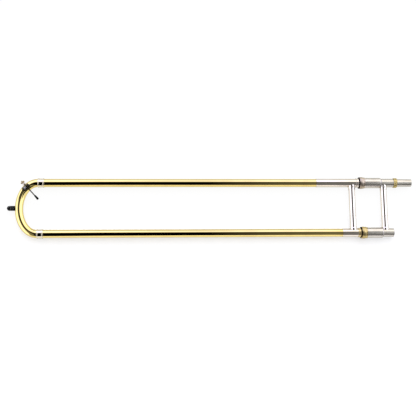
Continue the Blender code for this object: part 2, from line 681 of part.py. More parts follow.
def thread_outline():
    """The threaded ring's crests, as grooves round it."""
    high = THREAD_RING_START + THREAD_RING_LENGTH
    pitch = THREAD_RING_LENGTH / THREAD_CRESTS
    groove = THREAD_RING_RADIUS - THREAD_DEPTH
    half_crest = THREAD_CREST_WIDTH / 2
    outline = [(OVER_TENON, high), (groove, high)]
    for i in range(THREAD_CRESTS):
        middle = high - (i + 0.5) * pitch
        outline += [(THREAD_RING_RADIUS, middle + half_crest), (THREAD_RING_RADIUS, middle - half_crest)]
        outline.append((groove, middle - pitch / 2))
    outline.append((OVER_TENON, THREAD_RING_START))
    return outline


def bow_point(angle):
    """Point on the bow's centreline, a half ellipse: angle 0 is its tip and pi / 2 the bell side."""
    x = MOUTH_X + FERRULE_START - BOW_DEPTH * cos(angle)
    return Vector((x, HALF_SPACING * sin(angle), AXIS_HEIGHT))


def bow_path():
    """The bow's centreline, with a straight stretch into each ferrule."""
    end = MOUTH_X + FERRULE_START + (FERRULE_LENGTH - REST_GAP) / 2
    angles = [pi / 2 - pi * i / BOW_STEPS for i in range(BOW_STEPS + 1)]
    curve = [bow_point(angle) for angle in angles]
    first = Vector((end, HALF_SPACING, AXIS_HEIGHT))
    last = Vector((end, -HALF_SPACING, AXIS_HEIGHT))
    return [first, *curve, last]


def key_frame():
    """The water key's frame, with X out of the bow, Y along the hinge and Z up."""
    square = Vector((-cos(KEY_BOW_ANGLE) / BOW_DEPTH, sin(KEY_BOW_ANGLE) / HALF_SPACING, 0))
    out = Matrix.Rotation(KEY_SKEW, 3, "Z") @ square
    return frame_at(bow_point(KEY_BOW_ANGLE), Vector((0, 0, 1)), out)


def bow_end():
    """The slide bow with its drain hole, the ferrules, the bumper and its stud."""
    still = Matrix.Identity(4)
    bow = swept("slide_bow", bow_path(), OUTER_TUBE_RADIUS, BOW_SIDES, BRASS, still, capped=False)
    shell = bow.modifiers.new("wall", "SOLIDIFY")
    shell.thickness = BOW_WALL
    shell.offset = -1
    drain_place = key_frame() @ Matrix.Translation((0, KEY_LEVER_OFFSET, 0)) @ Matrix.Rotation(pi / 2, 4, "Y")
    drain = rod("cut_drain_hole", NIPPLE_BORE, OUTER_BORE / 2, 2 * OUTER_BORE, None, drain_place)
    cut(bow, drain)
    pieces = [bow]
    for name, side in SIDES:
        place = frame_at(on_tube(side), *ALONG_X)
        pieces.append(turned("bow_ferrule_" + name, ferrule_outline(), NICKEL_SILVER, place))
    clearance = swept(
        "cut_bow_clearance", bow_path(), OUTER_TUBE_RADIUS + SEAT_GAP, BOW_SIDES, None, still
    )
    pieces += bumper(clearance)
    return pieces, clearance


def ferrule_outline():
    """A sleeve over the joint of bow and tube, with a rounded rim at each end."""
    high = FERRULE_START + FERRULE_LENGTH
    bead = FERRULE_BEAD_WIDTH / 2
    outline = [(OVER_OUTER_TUBE, high)]
    for middle in (high - bead, FERRULE_START + bead):
        for i in range(2 * ARC_STEPS + 1):
            angle = pi / 2 - pi * i / (2 * ARC_STEPS)
            outline.append((FERRULE_RADIUS + FERRULE_BEAD_HEIGHT * cos(angle), middle + bead * sin(angle)))
    return outline + [(OVER_OUTER_TUBE, FERRULE_START)]


def bumper(bow_clearance):
    """The rubber bumper on the bow's tip, and the stud that holds it."""
    place = frame_at(bow_point(0.0), *AGAINST_X)
    base = OUTER_TUBE_RADIUS
    stud_top = base + STUD_LENGTH
    foot_top = base + STUD_FOOT_HEIGHT
    sunk = base / 2
    outline = [(0.0, stud_top), (STUD_RADIUS, stud_top), (STUD_RADIUS, foot_top), (STUD_FOOT_RADIUS, foot_top)]
    outline += [(STUD_FOOT_RADIUS, sunk), (0.0, sunk)]
    stud = cut(turned("bumper_stud", outline, BRASS, place, SMALL_SIDES), bow_clearance)
    tip = base + BUMPER_LENGTH
    outline = [(share * BUMPER_RADIUS, tip - depth * BUMPER_LENGTH) for share, depth in BUMPER_PROFILE]
    hollow = STUD_FOOT_RADIUS + SEAT_GAP
    bore = STUD_RADIUS + SEAT_GAP
    outline += [(BUMPER_RADIUS, sunk), (hollow, sunk), (hollow, foot_top + SEAT_GAP), (bore, foot_top + SEAT_GAP)]
    outline += [(bore, stud_top + SEAT_GAP), (0.0, stud_top + SEAT_GAP)]
    rubber = cut(turned("rubber_bumper", outline, RUBBER, place, TUBE_SIDES), bow_clearance)
    return [stud, rubber]


def water_key_mount(bow_clearance):
    """The nipple and the saddle on the bow, the hinge screw and the torsion spring."""
    key = key_frame()
    out_place = key @ Matrix.Translation((0, KEY_LEVER_OFFSET, 0)) @ Matrix.Rotation(pi / 2, 4, "Y")
    face = OUTER_TUBE_RADIUS + NIPPLE_HEIGHT
    foot_top = OUTER_TUBE_RADIUS + NIPPLE_FOOT_HEIGHT
    sunk = OUTER_TUBE_RADIUS / 2
    outline = [(NIPPLE_BORE, face), (NIPPLE_RADIUS, face), (NIPPLE_RADIUS, foot_top + NIPPLE_FOOT_HEIGHT)]
    outline += [(NIPPLE_FOOT_RADIUS, foot_top), (NIPPLE_FOOT_RADIUS, sunk), (NIPPLE_BORE, sunk)]
    nipple = cut(turned("water_key_nipple", outline, NICKEL_SILVER, out_place, SMALL_SIDES), bow_clearance)
    half_length = KEY_SADDLE_LENGTH / 2
    half_width = KEY_SADDLE_WIDTH / 2
    saddle = block(
        "water_key_saddle", (-half_width, -half_length, sunk), (half_width, half_length, KEY_SADDLE_TOP),
        NICKEL_SILVER, key,
    )
    cut(saddle, bow_clearance)
    hinge_place = key @ Matrix.Translation((0, 0, KEY_HINGE_HEIGHT)) @ Matrix.Rotation(-pi / 2, 4, "X")
    for name, low in (("near", -half_length), ("far", half_length - KEY_POST_THICKNESS)):
        high = low + KEY_POST_THICKNESS
        post = block(
            "join_post_" + name, (-KEY_POST_RADIUS, low, KEY_SADDLE_TOP - REST_GAP),
            (KEY_POST_RADIUS, high, KEY_HINGE_HEIGHT), None, key,
        )
        eye = rod("join_eye_" + name, KEY_POST_RADIUS, low, high, None, hinge_place)
        join(saddle, post, eye)
    hole = rod(
        "cut_hinge_hole", KEY_SCREW_RADIUS + PIN_CLEARANCE, -KEY_SADDLE_LENGTH, KEY_SADDLE_LENGTH, None, hinge_place
    )
    cut(saddle, hole)
    head = -half_length - PIN_CLEARANCE
    outline = [(0.0, half_length + KEY_SCREW_TAIL), (KEY_SCREW_RADIUS, half_length + KEY_SCREW_TAIL)]
    outline += [(KEY_SCREW_RADIUS, head), (KEY_SCREW_HEAD_RADIUS, head)]
    outline += [(KEY_SCREW_HEAD_RADIUS, head - KEY_SCREW_HEAD_HEIGHT), (0.0, head - KEY_SCREW_HEAD_HEIGHT)]
    screw = turned("water_key_screw", outline, STEEL, hinge_place, SMALL_SIDES)
    return [nipple, saddle, screw, water_key_spring(key)]


def water_key_lever(key):
    """Lever of the water key: hinge tube, straight arm, hooked arm and the cup that holds the cork pad."""
    hinge_place = key @ Matrix.Translation((0, 0, KEY_HINGE_HEIGHT)) @ Matrix.Rotation(-pi / 2, 4, "X")
    half = KEY_SADDLE_LENGTH / 2 - KEY_POST_THICKNESS - REST_GAP
    lever = rod("water_key_lever", KEY_BARREL_RADIUS, -half, half, NICKEL_SILVER, hinge_place)
    arm_place = key @ Matrix.Translation((0, KEY_LEVER_OFFSET, KEY_HINGE_HEIGHT)) @ Matrix.Rotation(-pi / 2, 4, "Y")
    outline = [(0.0, KEY_ARM_LENGTH), (KEY_ARM_TIP_RADIUS, KEY_ARM_LENGTH), (KEY_ARM_ROOT_RADIUS, 0.0), (0.0, 0.0)]
    arm = turned("join_key_arm", outline, None, arm_place, SMALL_SIDES)
    face = OUTER_TUBE_RADIUS + NIPPLE_HEIGHT + PIN_CLEARANCE
    cup_floor = face + CORK_PAD_THICKNESS + SEAT_GAP
    cup_back = cup_floor + CUP_BACK
    cup_inside = CORK_PAD_RADIUS + SEAT_GAP
    cup_outside = cup_inside + CUP_WALL
    cup_place = key @ Matrix.Translation((0, KEY_LEVER_OFFSET, 0)) @ Matrix.Rotation(pi / 2, 4, "Y")
    outline = [(0.0, cup_back), (cup_outside - CUP_WALL, cup_back), (cup_outside, cup_floor)]
    outline += [(cup_outside, cup_floor - CUP_GRIP), (cup_inside, cup_floor - CUP_GRIP), (cup_inside, cup_floor)]
    outline += [(0.0, cup_floor)]
    cup = turned("join_key_cup", outline, None, cup_place, SMALL_SIDES)
    reach = cup_back + KEY_HOOK_REACH
    knots = []
    for i in range(2 * ARC_STEPS + 1):
        angle = pi / 2 * (1 - i / (2 * ARC_STEPS))
        knots.append((reach * cos(angle), KEY_LEVER_OFFSET, KEY_HINGE_HEIGHT * sin(angle)))
    knots.append((cup_floor + CUP_BACK / 2, KEY_LEVER_OFFSET, -KEY_HOOK_RADIUS / 2))
    hook = swept("join_key_hook", knots, KEY_HOOK_RADIUS, HOOK_SIDES, None, key)
    join(lever, arm, hook, cup)
    bore = rod("cut_key_bore", KEY_SCREW_RADIUS + PIN_CLEARANCE, -half * 2, half * 2, None, hinge_place)
    cut(lever, bore)
    return lever, cup_place, face, arm_place


def water_key():
    """Everything that swings with the water key."""
    lever, cup_place, face, arm_place = water_key_lever(key_frame())
    pad = rod("water_key_cork", CORK_PAD_RADIUS, face, face + CORK_PAD_THICKNESS, CORK, cup_place)
    tip = KEY_ARM_LENGTH + KEY_TOUCH_OVERHANG
    start = tip - KEY_TOUCH_LENGTH
    growth = (KEY_ARM_TIP_RADIUS - KEY_ARM_ROOT_RADIUS) / KEY_ARM_LENGTH
    bore_start = KEY_ARM_ROOT_RADIUS + growth * start + SEAT_GAP
    bore_end = KEY_ARM_TIP_RADIUS + SEAT_GAP
    rounding = KEY_TOUCH_ROUNDING
    outline = [(0.0, tip)] + arc((KEY_TOUCH_RADIUS - rounding, tip - rounding), rounding, pi / 2, 0)
    outline += [(bore_start + KEY_TOUCH_WALL, start), (bore_start, start), (bore_end, KEY_ARM_LENGTH + SEAT_GAP)]
    outline += [(0.0, KEY_ARM_LENGTH + SEAT_GAP)]
    touch = turned("water_key_touch", outline, RUBBER, arm_place, SMALL_SIDES)
    return [lever, pad, touch]


def spring_points():
    """Points of the torsion spring in the key's frame: a leg under the lever's arm, the turns round the hinge
    tube, and a leg that bends down to the saddle."""
    coil = SPRING_COIL_RADIUS
    start = KEY_LEVER_OFFSET + max(KEY_ARM_ROOT_RADIUS, KEY_HOOK_RADIUS) + REST_GAP + SPRING_WIRE_RADIUS
    growth = (KEY_ARM_TIP_RADIUS - KEY_ARM_ROOT_RADIUS) / KEY_ARM_LENGTH
    under = KEY_ARM_ROOT_RADIUS + growth * SPRING_LEG + SEAT_GAP + SPRING_WIRE_RADIUS
    points = [Vector((-SPRING_LEG, KEY_LEVER_OFFSET, KEY_HINGE_HEIGHT - under))]
    steps = int(SPRING_TURNS * SPRING_STEPS)
    for i in range(steps + 1):
        angle = 2 * pi * i / SPRING_STEPS
        y = start + SPRING_PITCH * i / SPRING_STEPS
        points.append(Vector((coil * sin(angle), y, KEY_HINGE_HEIGHT - coil * cos(angle))))
    end = start + SPRING_PITCH * SPRING_TURNS
    bend = (SPRING_BEND - SPRING_DROP, KEY_HINGE_HEIGHT + coil - SPRING_BEND)
    points += [Vector((x, end, z)) for x, z in arc(bend, SPRING_BEND, pi / 2, pi)]
    points.append(Vector((-SPRING_DROP, end, KEY_SADDLE_TOP + SEAT_GAP)))
    return points


def water_key_spring(key):
    points = spring_points()
    far_apart = SPRING_STEPS // 2
    gaps = [
        (a - b).length - 2 * SPRING_WIRE_RADIUS
        for i, a in enumerate(points)
        for b in points[i + far_apart:]
    ]
    print(f"water_key_spring: least gap to itself {min(gaps) * 1000:.2f} mm")
    return swept("water_key_spring", points, SPRING_WIRE_RADIUS, 6, STEEL, key)


clear_scene()
PARTS = new_collection("trombone_hand_slide")
CUTTERS = new_collection("cutters")


def build():
    inner = body_frame("inner_slide", on_tube(0))
    outer = body_frame("outer_slide", on_tube(0, OUTER_TUBE_END))
    lock = body_frame("slide_lock", on_tube(-1))
    hinge = body_frame("water_key", key_frame() @ Vector((0, 0, KEY_HINGE_HEIGHT)))
    carry(inner, *inner_tubes(), *barrels(), *mouthpiece_end(), *bell_end())
    carry(inner, *brace("inner_brace", INNER_BRACE_X, (BELL_NECK_RADIUS, RECEIVER_RADIUS), True))
    bow_pieces, bow_clearance = bow_end()
    carry(outer, *outer_tubes(), *bow_pieces, *water_key_mount(bow_clearance))
    carry(outer, *brace("outer_brace", OUTER_BRACE_X, (SLEEVE_RADIUS, SLEEVE_RADIUS)))
    carry(outer, lock, hinge)
    carry(lock, *slide_lock())
    carry(hinge, *water_key())


build()
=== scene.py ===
"""Visual model of the trombone hand slide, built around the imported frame.

Sizes are in millimetres, but floor, camera and materials are in metres. Distances along the tubes are from the
plane of the cork barrels' mouths, and +X runs from the slide bow to the bell and mouthpiece ends.
"""

from math import cos, floor, pi, radians, sin

import bmesh
import bpy
from mathutils import Matrix, Vector


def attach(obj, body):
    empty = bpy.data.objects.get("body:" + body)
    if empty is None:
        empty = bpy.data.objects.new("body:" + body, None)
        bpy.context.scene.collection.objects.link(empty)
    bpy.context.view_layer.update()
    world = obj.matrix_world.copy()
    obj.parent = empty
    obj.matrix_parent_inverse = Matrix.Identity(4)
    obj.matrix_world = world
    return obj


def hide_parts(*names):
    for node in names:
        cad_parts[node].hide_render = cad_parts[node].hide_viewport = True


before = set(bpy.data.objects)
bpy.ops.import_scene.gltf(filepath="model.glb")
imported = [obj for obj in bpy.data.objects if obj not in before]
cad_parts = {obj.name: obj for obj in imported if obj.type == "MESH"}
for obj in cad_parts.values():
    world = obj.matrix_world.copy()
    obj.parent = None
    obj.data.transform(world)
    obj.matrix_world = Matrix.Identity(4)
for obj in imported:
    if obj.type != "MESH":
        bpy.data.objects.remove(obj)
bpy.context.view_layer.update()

MM = 0.001
MOUTH_X = 288.85
HALF_SPACING = 48.75
AXIS_HEIGHT = 11.5
SIDES = (("bell_side", +1), ("mouthpiece_side", -1))

# Numbers of sides of large and small round pieces
FINE = 96
SMALL = 48

# How meshes are finished
SHARP = radians(32)
CORNER = radians(14)
ROUNDING_STEPS = 3
SUPPORT = 0.3
BEVEL_STEPS = 3
BEVEL_ANGLE = radians(35)
ON_AXIS = 1e-6
WELD = 1e-6

# Gaps between a piece and what it sits on, and between pieces that meet end to end
SEAT_GAP = 0.15
REST_GAP = 0.3

# Radii of the tubes and of what fits on them
TUBE = 7.75
TUBE_BORE = 7.45
SLEEVE = 8.1
SLEEVE_BORE = 7.9
STOCKING = 7.3
INNER = 6.9
INNER_BORE = 6.6
OVER_INNER = 7.05
CORK_RING = 9.1
END_RING = 8.75
END_RING_BORE = 8.25
BARREL = 10.0
BARREL_BORE = 9.4
OVER_BARREL = 10.15
RIM = 11.5
RIM_STEP = 10.6
NECK = 8.3
OVER_TENON = 7.8
RECEIVER = 8.2
SOCKET_THROAT = 5.8
BRACE = 6.0
BOW_BORE = 7.35

# Places along the tubes
TUBE_START = -614.5
TUBE_END = 26.7
INNER_START = -602.25
INNER_ENDS = {"bell_side": 56.0, "mouthpiece_side": 45.3}
STOCKING_LENGTH = 110.0
SLEEVE_LENGTHS = {"bell_side": 114.8, "mouthpiece_side": 66.7}
END_RING_START = -9.8
END_RING_END = -4.9
CORK_START = 27.0
CORK_END = 36.7
RIM_FRONT = 4.4
BARREL_FLOOR = 37.0
BARREL_END = 39.0
NECK_START = 39.3
NECK_END = 63.5
THREAD_START = 63.8
THREAD_END = 70.6
TENON_END = 99.3
RECEIVER_END = 60.1
OUTER_BRACE = -18.2
INNER_BRACE = 44.0
BOW_START = -620.55
BOW_DEPTH = 34.0
FERRULE_LENGTH = 11.8


# ---- Meshes ----

def frame_at(origin, direction, side):
    """World matrix with local Z along direction and local X along side."""
    z = direction.normalized()
    x = side.normalized()
    rotation = Matrix((x, z.cross(x), z)).transposed().to_4x4()
    return Matrix.Translation(Vector(origin) * MM) @ rotation


def on_tube(side, along=0.0):
    return Vector((MOUTH_X + along, side * HALF_SPACING, AXIS_HEIGHT))


def tube_place(side):
    """Local Z runs along the tube's axis from the plane of the mouths, and local X points down."""
    return frame_at(on_tube(side), Vector((1, 0, 0)), Vector((0, 0, -1)))


def brace_place(side, along):
    """Local Z runs from the tube's axis to the other tube, and local X along the tube."""
    return frame_at(on_tube(side, along), Vector((0, -side, 0)), Vector((1, 0, 0)))


def shift(x, y, z):
    return Matrix.Translation(Vector((x, y, z)) * MM)


def arc(centre, radius, start, end, steps=8):
    angles = [start + (end - start) * i / steps for i in range(steps + 1)]
    return [(centre[0] + radius * cos(a), centre[1] + radius * sin(a)) for a in angles]


def on_axis_at_ends(outline):
    return outline[0][0] < ON_AXIS and outline[-1][0] < ON_AXIS


def softened(outline, radius):
    """The outline with every corner rounded. One that starts and ends on the axis keeps those two points."""
    points = [Vector(p) for p in outline]
    count = len(points)
    solid = on_axis_at_ends(outline)
    longest_share = 0.4
    out = []
    for i, point in enumerate(points):
        before = points[i - 1] - point
        after = points[(i + 1) % count] - point
        end = solid and i in (0, count - 1)
        if end or min(before.length, after.length) < ON_AXIS or pi - before.angle(after) < CORNER:
            out.append(tuple(point))
            continue
        reach = min(radius, longest_share * before.length, longest_share * after.length)
        first = point + before.normalized() * reach
        last = point + after.normalized() * reach
        for k in range(ROUNDING_STEPS + 1):
            t = k / ROUNDING_STEPS
            out.append(tuple(first * (1 - t) ** 2 + point * (2 * t * (1 - t)) + last * t**2))
    return out


def supported(outline):
    """Adds a point just inside each end of a long stretch, so that the roundings don't shade the stretch itself."""
    solid = on_axis_at_ends(outline)
    out = []
    for i, point in enumerate(outline):
        out.append(point)
        if solid and i == len(outline) - 1:
            break
        first, last = Vector(point), Vector(outline[(i + 1) % len(outline)])
        length = (last - first).length
        if length > 4 * SUPPORT:
            out += [tuple(first.lerp(last, SUPPORT / length)), tuple(last.lerp(first, SUPPORT / length))]
    return out


def finished(name, verts, faces, place):
    """An object from these vertices, welded, faced outwards and with its sharp edges marked."""
    mesh = bpy.data.meshes.new(name)
    mesh.from_pydata([tuple(Vector(v) * MM) for v in verts], [], faces)
    obj = bpy.data.objects.new(name, mesh)
    bpy.context.scene.collection.objects.link(obj)
    obj.matrix_world = place
    tidy_mesh(mesh)
    return obj


def tidy_mesh(mesh):
    shape = bmesh.new()
    shape.from_mesh(mesh)
    bmesh.ops.remove_doubles(shape, verts=shape.verts, dist=WELD)
    bmesh.ops.recalc_face_normals(shape, faces=shape.faces)
    for face in shape.faces:
        face.smooth = True
    for edge in shape.edges:
        edge.smooth = len(edge.link_faces) == 2 and edge.calc_face_angle(0.0) < SHARP
    shape.to_mesh(mesh)
    shape.free()


def circle(radius, height, sides):
    angles = [2 * pi * k / sides for k in range(sides)]
    return [(radius * cos(a), radius * sin(a), height) for a in angles]


def band(low, high, sides):
    """Faces between two rings of vertices, given each ring's first vertex."""
    faces = []
    for k in range(sides):
        after = (k + 1) % sides
        faces.append((low + k, low + after, high + after, high + k))
    return faces


def lathe(name, outline, place, sides=FINE, soften=0.0):
    """A piece turned about its local Z from (radius, height) points, solid or closed into a ring."""
    if soften:
        outline = softened(outline, soften)
    outline = supported(outline)
    verts = []
    rings = []
    for radius, height in outline:
        pole = radius < ON_AXIS
        rings.append((len(verts), pole))
        verts += [(0.0, 0.0, height)] if pole else circle(radius, height, sides)
    pairs = list(zip(rings, rings[1:]))
    if not on_axis_at_ends(outline):
        pairs.append((rings[-1], rings[0]))
    faces = []
    for (low, low_pole), (high, high_pole) in pairs:
        if low_pole and high_pole:
            continue
        if low_pole:
            faces += [(low, high + (k + 1) % sides, high + k) for k in range(sides)]
        elif high_pole:
            faces += [(low + k, low + (k + 1) % sides, high) for k in range(sides)]
        else:
            faces += band(low, high, sides)
    return finished(name, verts, faces, place)


def tube(name, outer, inner, low, high, place, soften=0.08):
    return lathe(name, [(inner, high), (outer, high), (outer, low), (inner, low)], place, FINE, soften)


def rod(name, radius, low, high, place, sides=SMALL, soften=0.0):
    return lathe(name, [(0, high), (radius, high), (radius, low), (0, low)], place, sides, soften)


def transported(points):
    """Two unit vectors across the path at each point, turning as little as possible along it."""
    count = len(points)
    tangents = []
    for i in range(count):
        tangents.append((points[min(i + 1, count - 1)] - points[max(i - 1, 0)]).normalized())
    helper = Vector((0, 0, 1)) if abs(tangents[0].z) < 0.9 else Vector((0, 1, 0))
    across = helper.cross(tangents[0]).normalized()
    frames = []
    for tangent in tangents:
        across = (across - tangent * across.dot(tangent)).normalized()
        frames.append((across, tangent.cross(across)))
    return frames


def sweep(name, points, radius, place, sides, hollow=None):
    """A round bar along the points, or a pipe where hollow is the inside radius."""
    frames = transported(points)
    skins = [radius] if hollow is None else [radius, hollow]
    steps = len(points)
    inside = steps * sides
    last = inside - sides
    verts = []
    for skin in skins:
        for point, (x, y) in zip(points, frames):
            verts += [point + x * a + y * b for a, b, _ in circle(skin, 0, sides)]
    faces = []
    for base in range(0, len(skins) * inside, inside):
        for row in range(base, base + last, sides):
            faces += band(row, row + sides, sides)
    if hollow is None:
        faces += [tuple(range(sides)), tuple(range(last, inside))]
    else:
        faces += band(0, inside, sides) + band(last, last + inside, sides)
    return finished(name, verts, faces, place)


def flat_bar(name, stations, place, sides=40, power=0.42):
    """A bar along local Z with flat top and bottom and rounded edges, from (height, half thickness, half width)."""
    verts = []
    for height, thick, wide in stations:
        for c, s, _ in circle(1.0, 0, sides):
            x = thick * abs(c) ** power * (1 if c > 0 else -1)
            verts.append((x, wide * abs(s) ** power * (1 if s > 0 else -1), height))
    last = (len(stations) - 1) * sides
    faces = [tuple(range(sides)), tuple(range(last, last + sides))]
    for row in range(0, last, sides):
        faces += band(row, row + sides, sides)
    return finished(name, verts, faces, place)


def box(name, low, high, place):
    xs, ys, zs = zip(low, high)
    verts = [(x, y, z) for x in xs for y in ys for z in zs]
    faces = [(0, 1, 3, 2), (4, 6, 7, 5), (0, 4, 5, 1), (2, 3, 7, 6), (0, 2, 6, 4), (1, 5, 7, 3)]
    return finished(name, verts, faces, place)


def round_edges(obj, width):
    bevel = obj.modifiers.new("rounding", "BEVEL")
    bevel.width = width * MM
    bevel.segments = BEVEL_STEPS
    bevel.limit_method = "ANGLE"
    bevel.angle_limit = BEVEL_ANGLE


def settle(obj):
    """Applies the modifiers and marks the sharp edges of what results."""
    bpy.context.view_layer.update()
    depsgraph = bpy.context.evaluated_depsgraph_get()
    mesh = bpy.data.meshes.new_from_object(obj.evaluated_get(depsgraph))
    mesh.name = obj.name
    obj.modifiers.clear()
    obj.data = mesh
    tidy_mesh(mesh)


def carve(obj, operation, *others):
    """Joins the others to the object or cuts them from it, and removes them."""
    for other in others:
        boolean = obj.modifiers.new("carve", "BOOLEAN")
        boolean.operation = operation
        boolean.solver = "EXACT"
        boolean.object = other
    settle(obj)
    for other in others:
        bpy.data.objects.remove(other, do_unlink=True)


# ---- Materials ----

class Nodes:
    """A short way to lay nodes in one tree."""

    def __init__(self, tree):
        self.tree = tree

    def add(self, kind, **values):
        node = self.tree.nodes.new(kind)
        for name, value in values.items():
            setattr(node, name, value)
        return node

    def link(self, source, target):
        self.tree.links.new(source, target)

    def fill(self, socket, value):
        if isinstance(value, bpy.types.NodeSocket):
            self.link(value, socket)
        else:
            socket.default_value = value

    def math(self, operation, a, b=0.0):
        node = self.add("ShaderNodeMath", operation=operation)
        self.fill(node.inputs[0], a)
        self.fill(node.inputs[1], b)
        return node.outputs[0]

    def total(self, first, *others):
        for other in others:
            first = self.math("ADD", first, other)
        return first

    def product(self, first, *others):
        for other in others:
            first = self.math("MULTIPLY", first, other)
        return first

    def excess(self, a, b):
        """How far a is above b, or 0."""
        return self.math("MAXIMUM", self.math("SUBTRACT", a, b), 0.0)

    def ramp(self, value, low, high, out_low=0.0, out_high=1.0, smooth=True):
        node = self.add("ShaderNodeMapRange", interpolation_type="SMOOTHSTEP" if smooth else "LINEAR")
        for name, number in (("From Min", low), ("From Max", high), ("To Min", out_low), ("To Max", out_high)):
            node.inputs[name].default_value = number
        self.link(value, node.inputs["Value"])
        return node.outputs["Result"]

    def mix(self, factor, a, b):
        node = self.add("ShaderNodeMix", data_type="RGBA")
        self.fill(node.inputs[0], factor)
        for socket, value in ((node.inputs[6], a), (node.inputs[7], b)):
            self.fill(socket, (*value, 1.0) if isinstance(value, tuple) else value)
        return node.outputs[2]

    def noise(self, scale, detail, stretch=(1.0, 1.0, 1.0)):
        place = self.add("ShaderNodeTexCoord")
        mapping = self.add("ShaderNodeMapping")
        mapping.inputs["Scale"].default_value = stretch
        self.link(place.outputs["Object"], mapping.inputs["Vector"])
        node = self.add("ShaderNodeTexNoise")
        node.inputs["Scale"].default_value = scale
        node.inputs["Detail"].default_value = detail
        self.link(mapping.outputs["Vector"], node.inputs["Vector"])
        return node.outputs["Fac"]

    def bump(self, height, strength, distance):
        node = self.add("ShaderNodeBump")
        node.inputs["Strength"].default_value = strength
        node.inputs["Distance"].default_value = distance
        self.link(height, node.inputs["Height"])
        return node.outputs["Normal"]


LACQUER_ROUGHNESS = 0.04
LACQUER_IOR = 1.75


def new_material(name):
    made = bpy.data.materials.new(name)
    made.use_nodes = True
    return made, Nodes(made.node_tree), made.node_tree.nodes["Principled BSDF"]


def metal(name, bright, dull, roughness, edge, lacquered=False, grain=0.10):
    """Polished metal: faint cloudy tarnish, polishing lines along local Z and a little unevenness of gloss."""
    made, nodes, shader = new_material(name)
    cloud = nodes.ramp(nodes.noise(38.0, 3.0), 0.42, 0.72)
    nodes.link(nodes.mix(cloud, bright, dull), shader.inputs["Base Color"])
    shader.inputs["Metallic"].default_value = 1.0
    shader.inputs["Specular Tint"].default_value = (*edge, 1.0)
    smear = nodes.noise(160.0, 4.0, (1.0, 1.0, 0.25))
    nodes.link(nodes.ramp(smear, 0.3, 0.75, roughness * 0.8, roughness * 1.5), shader.inputs["Roughness"])
    lines = nodes.noise(2600.0, 2.0, (1.0, 1.0, 0.03))
    nodes.link(nodes.bump(lines, grain, 0.00001), shader.inputs["Normal"])
    if lacquered:
        shader.inputs["Coat Weight"].default_value = 1.0
        shader.inputs["Coat Roughness"].default_value = LACQUER_ROUGHNESS
        shader.inputs["Coat IOR"].default_value = LACQUER_IOR
    return made


def painted_shade_inside():
    """Painted shade: near-black, rough metal for the faces inside the barrels' mouths and for their front edges,
    which stands in for the shade there. Its tone varies at random.
    """
    made, nodes, shader = new_material("barrel_inside_painted_shade")
    cloud = nodes.ramp(nodes.noise(240.0, 3.0), 0.35, 0.7)
    nodes.link(nodes.mix(cloud, (0.004, 0.003, 0.003), (0.010, 0.008, 0.006)), shader.inputs["Base Color"])
    nodes.link(nodes.ramp(cloud, 0.0, 1.0, 0.45, 0.7), shader.inputs["Roughness"])
    shader.inputs["Specular IOR Level"].default_value = 0.02
    return made


def rubber(name, colour, wear_and_sheen, roughness):
    """Moulded rubber: fine pores over soft lumps, with grey patches at random that are partly rubbed wear and partly
    painted speckled highlights.
    """
    made, nodes, shader = new_material(name)
    lumps = nodes.noise(430.0, 3.0)
    wear_and_sheen_mask = nodes.ramp(lumps, 0.50, 0.64)
    nodes.link(nodes.mix(wear_and_sheen_mask, colour, wear_and_sheen), shader.inputs["Base Color"])
    nodes.link(nodes.ramp(wear_and_sheen_mask, 0.0, 1.0, roughness, roughness + 0.2), shader.inputs["Roughness"])
    shader.inputs["Specular IOR Level"].default_value = 0.05
    both = nodes.total(lumps, nodes.product(nodes.noise(2600.0, 3.0), 0.12))
    nodes.link(nodes.bump(both, 0.55, 0.0004), shader.inputs["Normal"])
    return made


def cork():
    """Pale cells with darker walls and flecks."""
    made, nodes, shader = new_material("cork")
    place = nodes.add("ShaderNodeTexCoord")
    cells = nodes.add("ShaderNodeTexVoronoi", feature="DISTANCE_TO_EDGE")
    cells.inputs["Scale"].default_value = 1400.0
    nodes.link(place.outputs["Object"], cells.inputs["Vector"])
    walls = nodes.ramp(cells.outputs["Distance"], 0.02, 0.16)
    flecks = nodes.ramp(nodes.noise(900.0, 4.0), 0.56, 0.68)
    pale = nodes.mix(walls, (0.33, 0.19, 0.09), (0.58, 0.38, 0.21))
    nodes.link(nodes.mix(flecks, pale, (0.13, 0.065, 0.03)), shader.inputs["Base Color"])
    nodes.link(nodes.ramp(flecks, 0.0, 1.0, 0.85, 0.95), shader.inputs["Roughness"])
    nodes.link(nodes.bump(walls, 0.6, 0.00006), shader.inputs["Normal"])
    return made


# Each metal: its name, its bright and dull colours, its roughness and its colour at grazing angles
BRASS = metal(
    "polished_brass", (0.81, 0.64, 0.18), (0.76, 0.58, 0.16), 0.045, (0.55, 0.50, 0.40), lacquered=True
)
DULL_BRASS = metal("dull_brass", (0.70, 0.57, 0.29), (0.58, 0.46, 0.23), 0.10, (0.7, 0.65, 0.55))
THREAD_BRASS = metal("old_thread_brass", (0.56, 0.45, 0.18), (0.44, 0.35, 0.13), 0.16, (0.6, 0.55, 0.45))
RIM_BRASS = metal("worn_lock_brass", (0.64, 0.51, 0.22), (0.50, 0.39, 0.16), 0.34, (0.6, 0.55, 0.45))
SILVER = metal("nickel_silver", (0.80, 0.74, 0.64), (0.75, 0.69, 0.59), 0.055, (0.6, 0.57, 0.5))
DULL_SILVER = metal(
    "dull_nickel_silver", (0.60, 0.57, 0.51), (0.51, 0.48, 0.43), 0.13, (0.7, 0.68, 0.62)
)
FERRULE_SILVER = metal(
    "ferrule_silver", (0.80, 0.73, 0.53), (0.74, 0.67, 0.48), 0.055, (0.6, 0.57, 0.5)
)
RIM_SILVER = metal("worn_rim", (0.56, 0.48, 0.36), (0.45, 0.38, 0.28), 0.36, (0.6, 0.57, 0.5))
HOOK_SILVER = metal("worn_hook", (0.34, 0.26, 0.15), (0.22, 0.17, 0.10), 0.16, (0.6, 0.57, 0.5))
KEY_SILVER = metal(
    "worn_nickel_silver", (0.065, 0.055, 0.036), (0.04, 0.034, 0.022), 0.18, (0.4, 0.38, 0.34),
    grain=0.2,
)
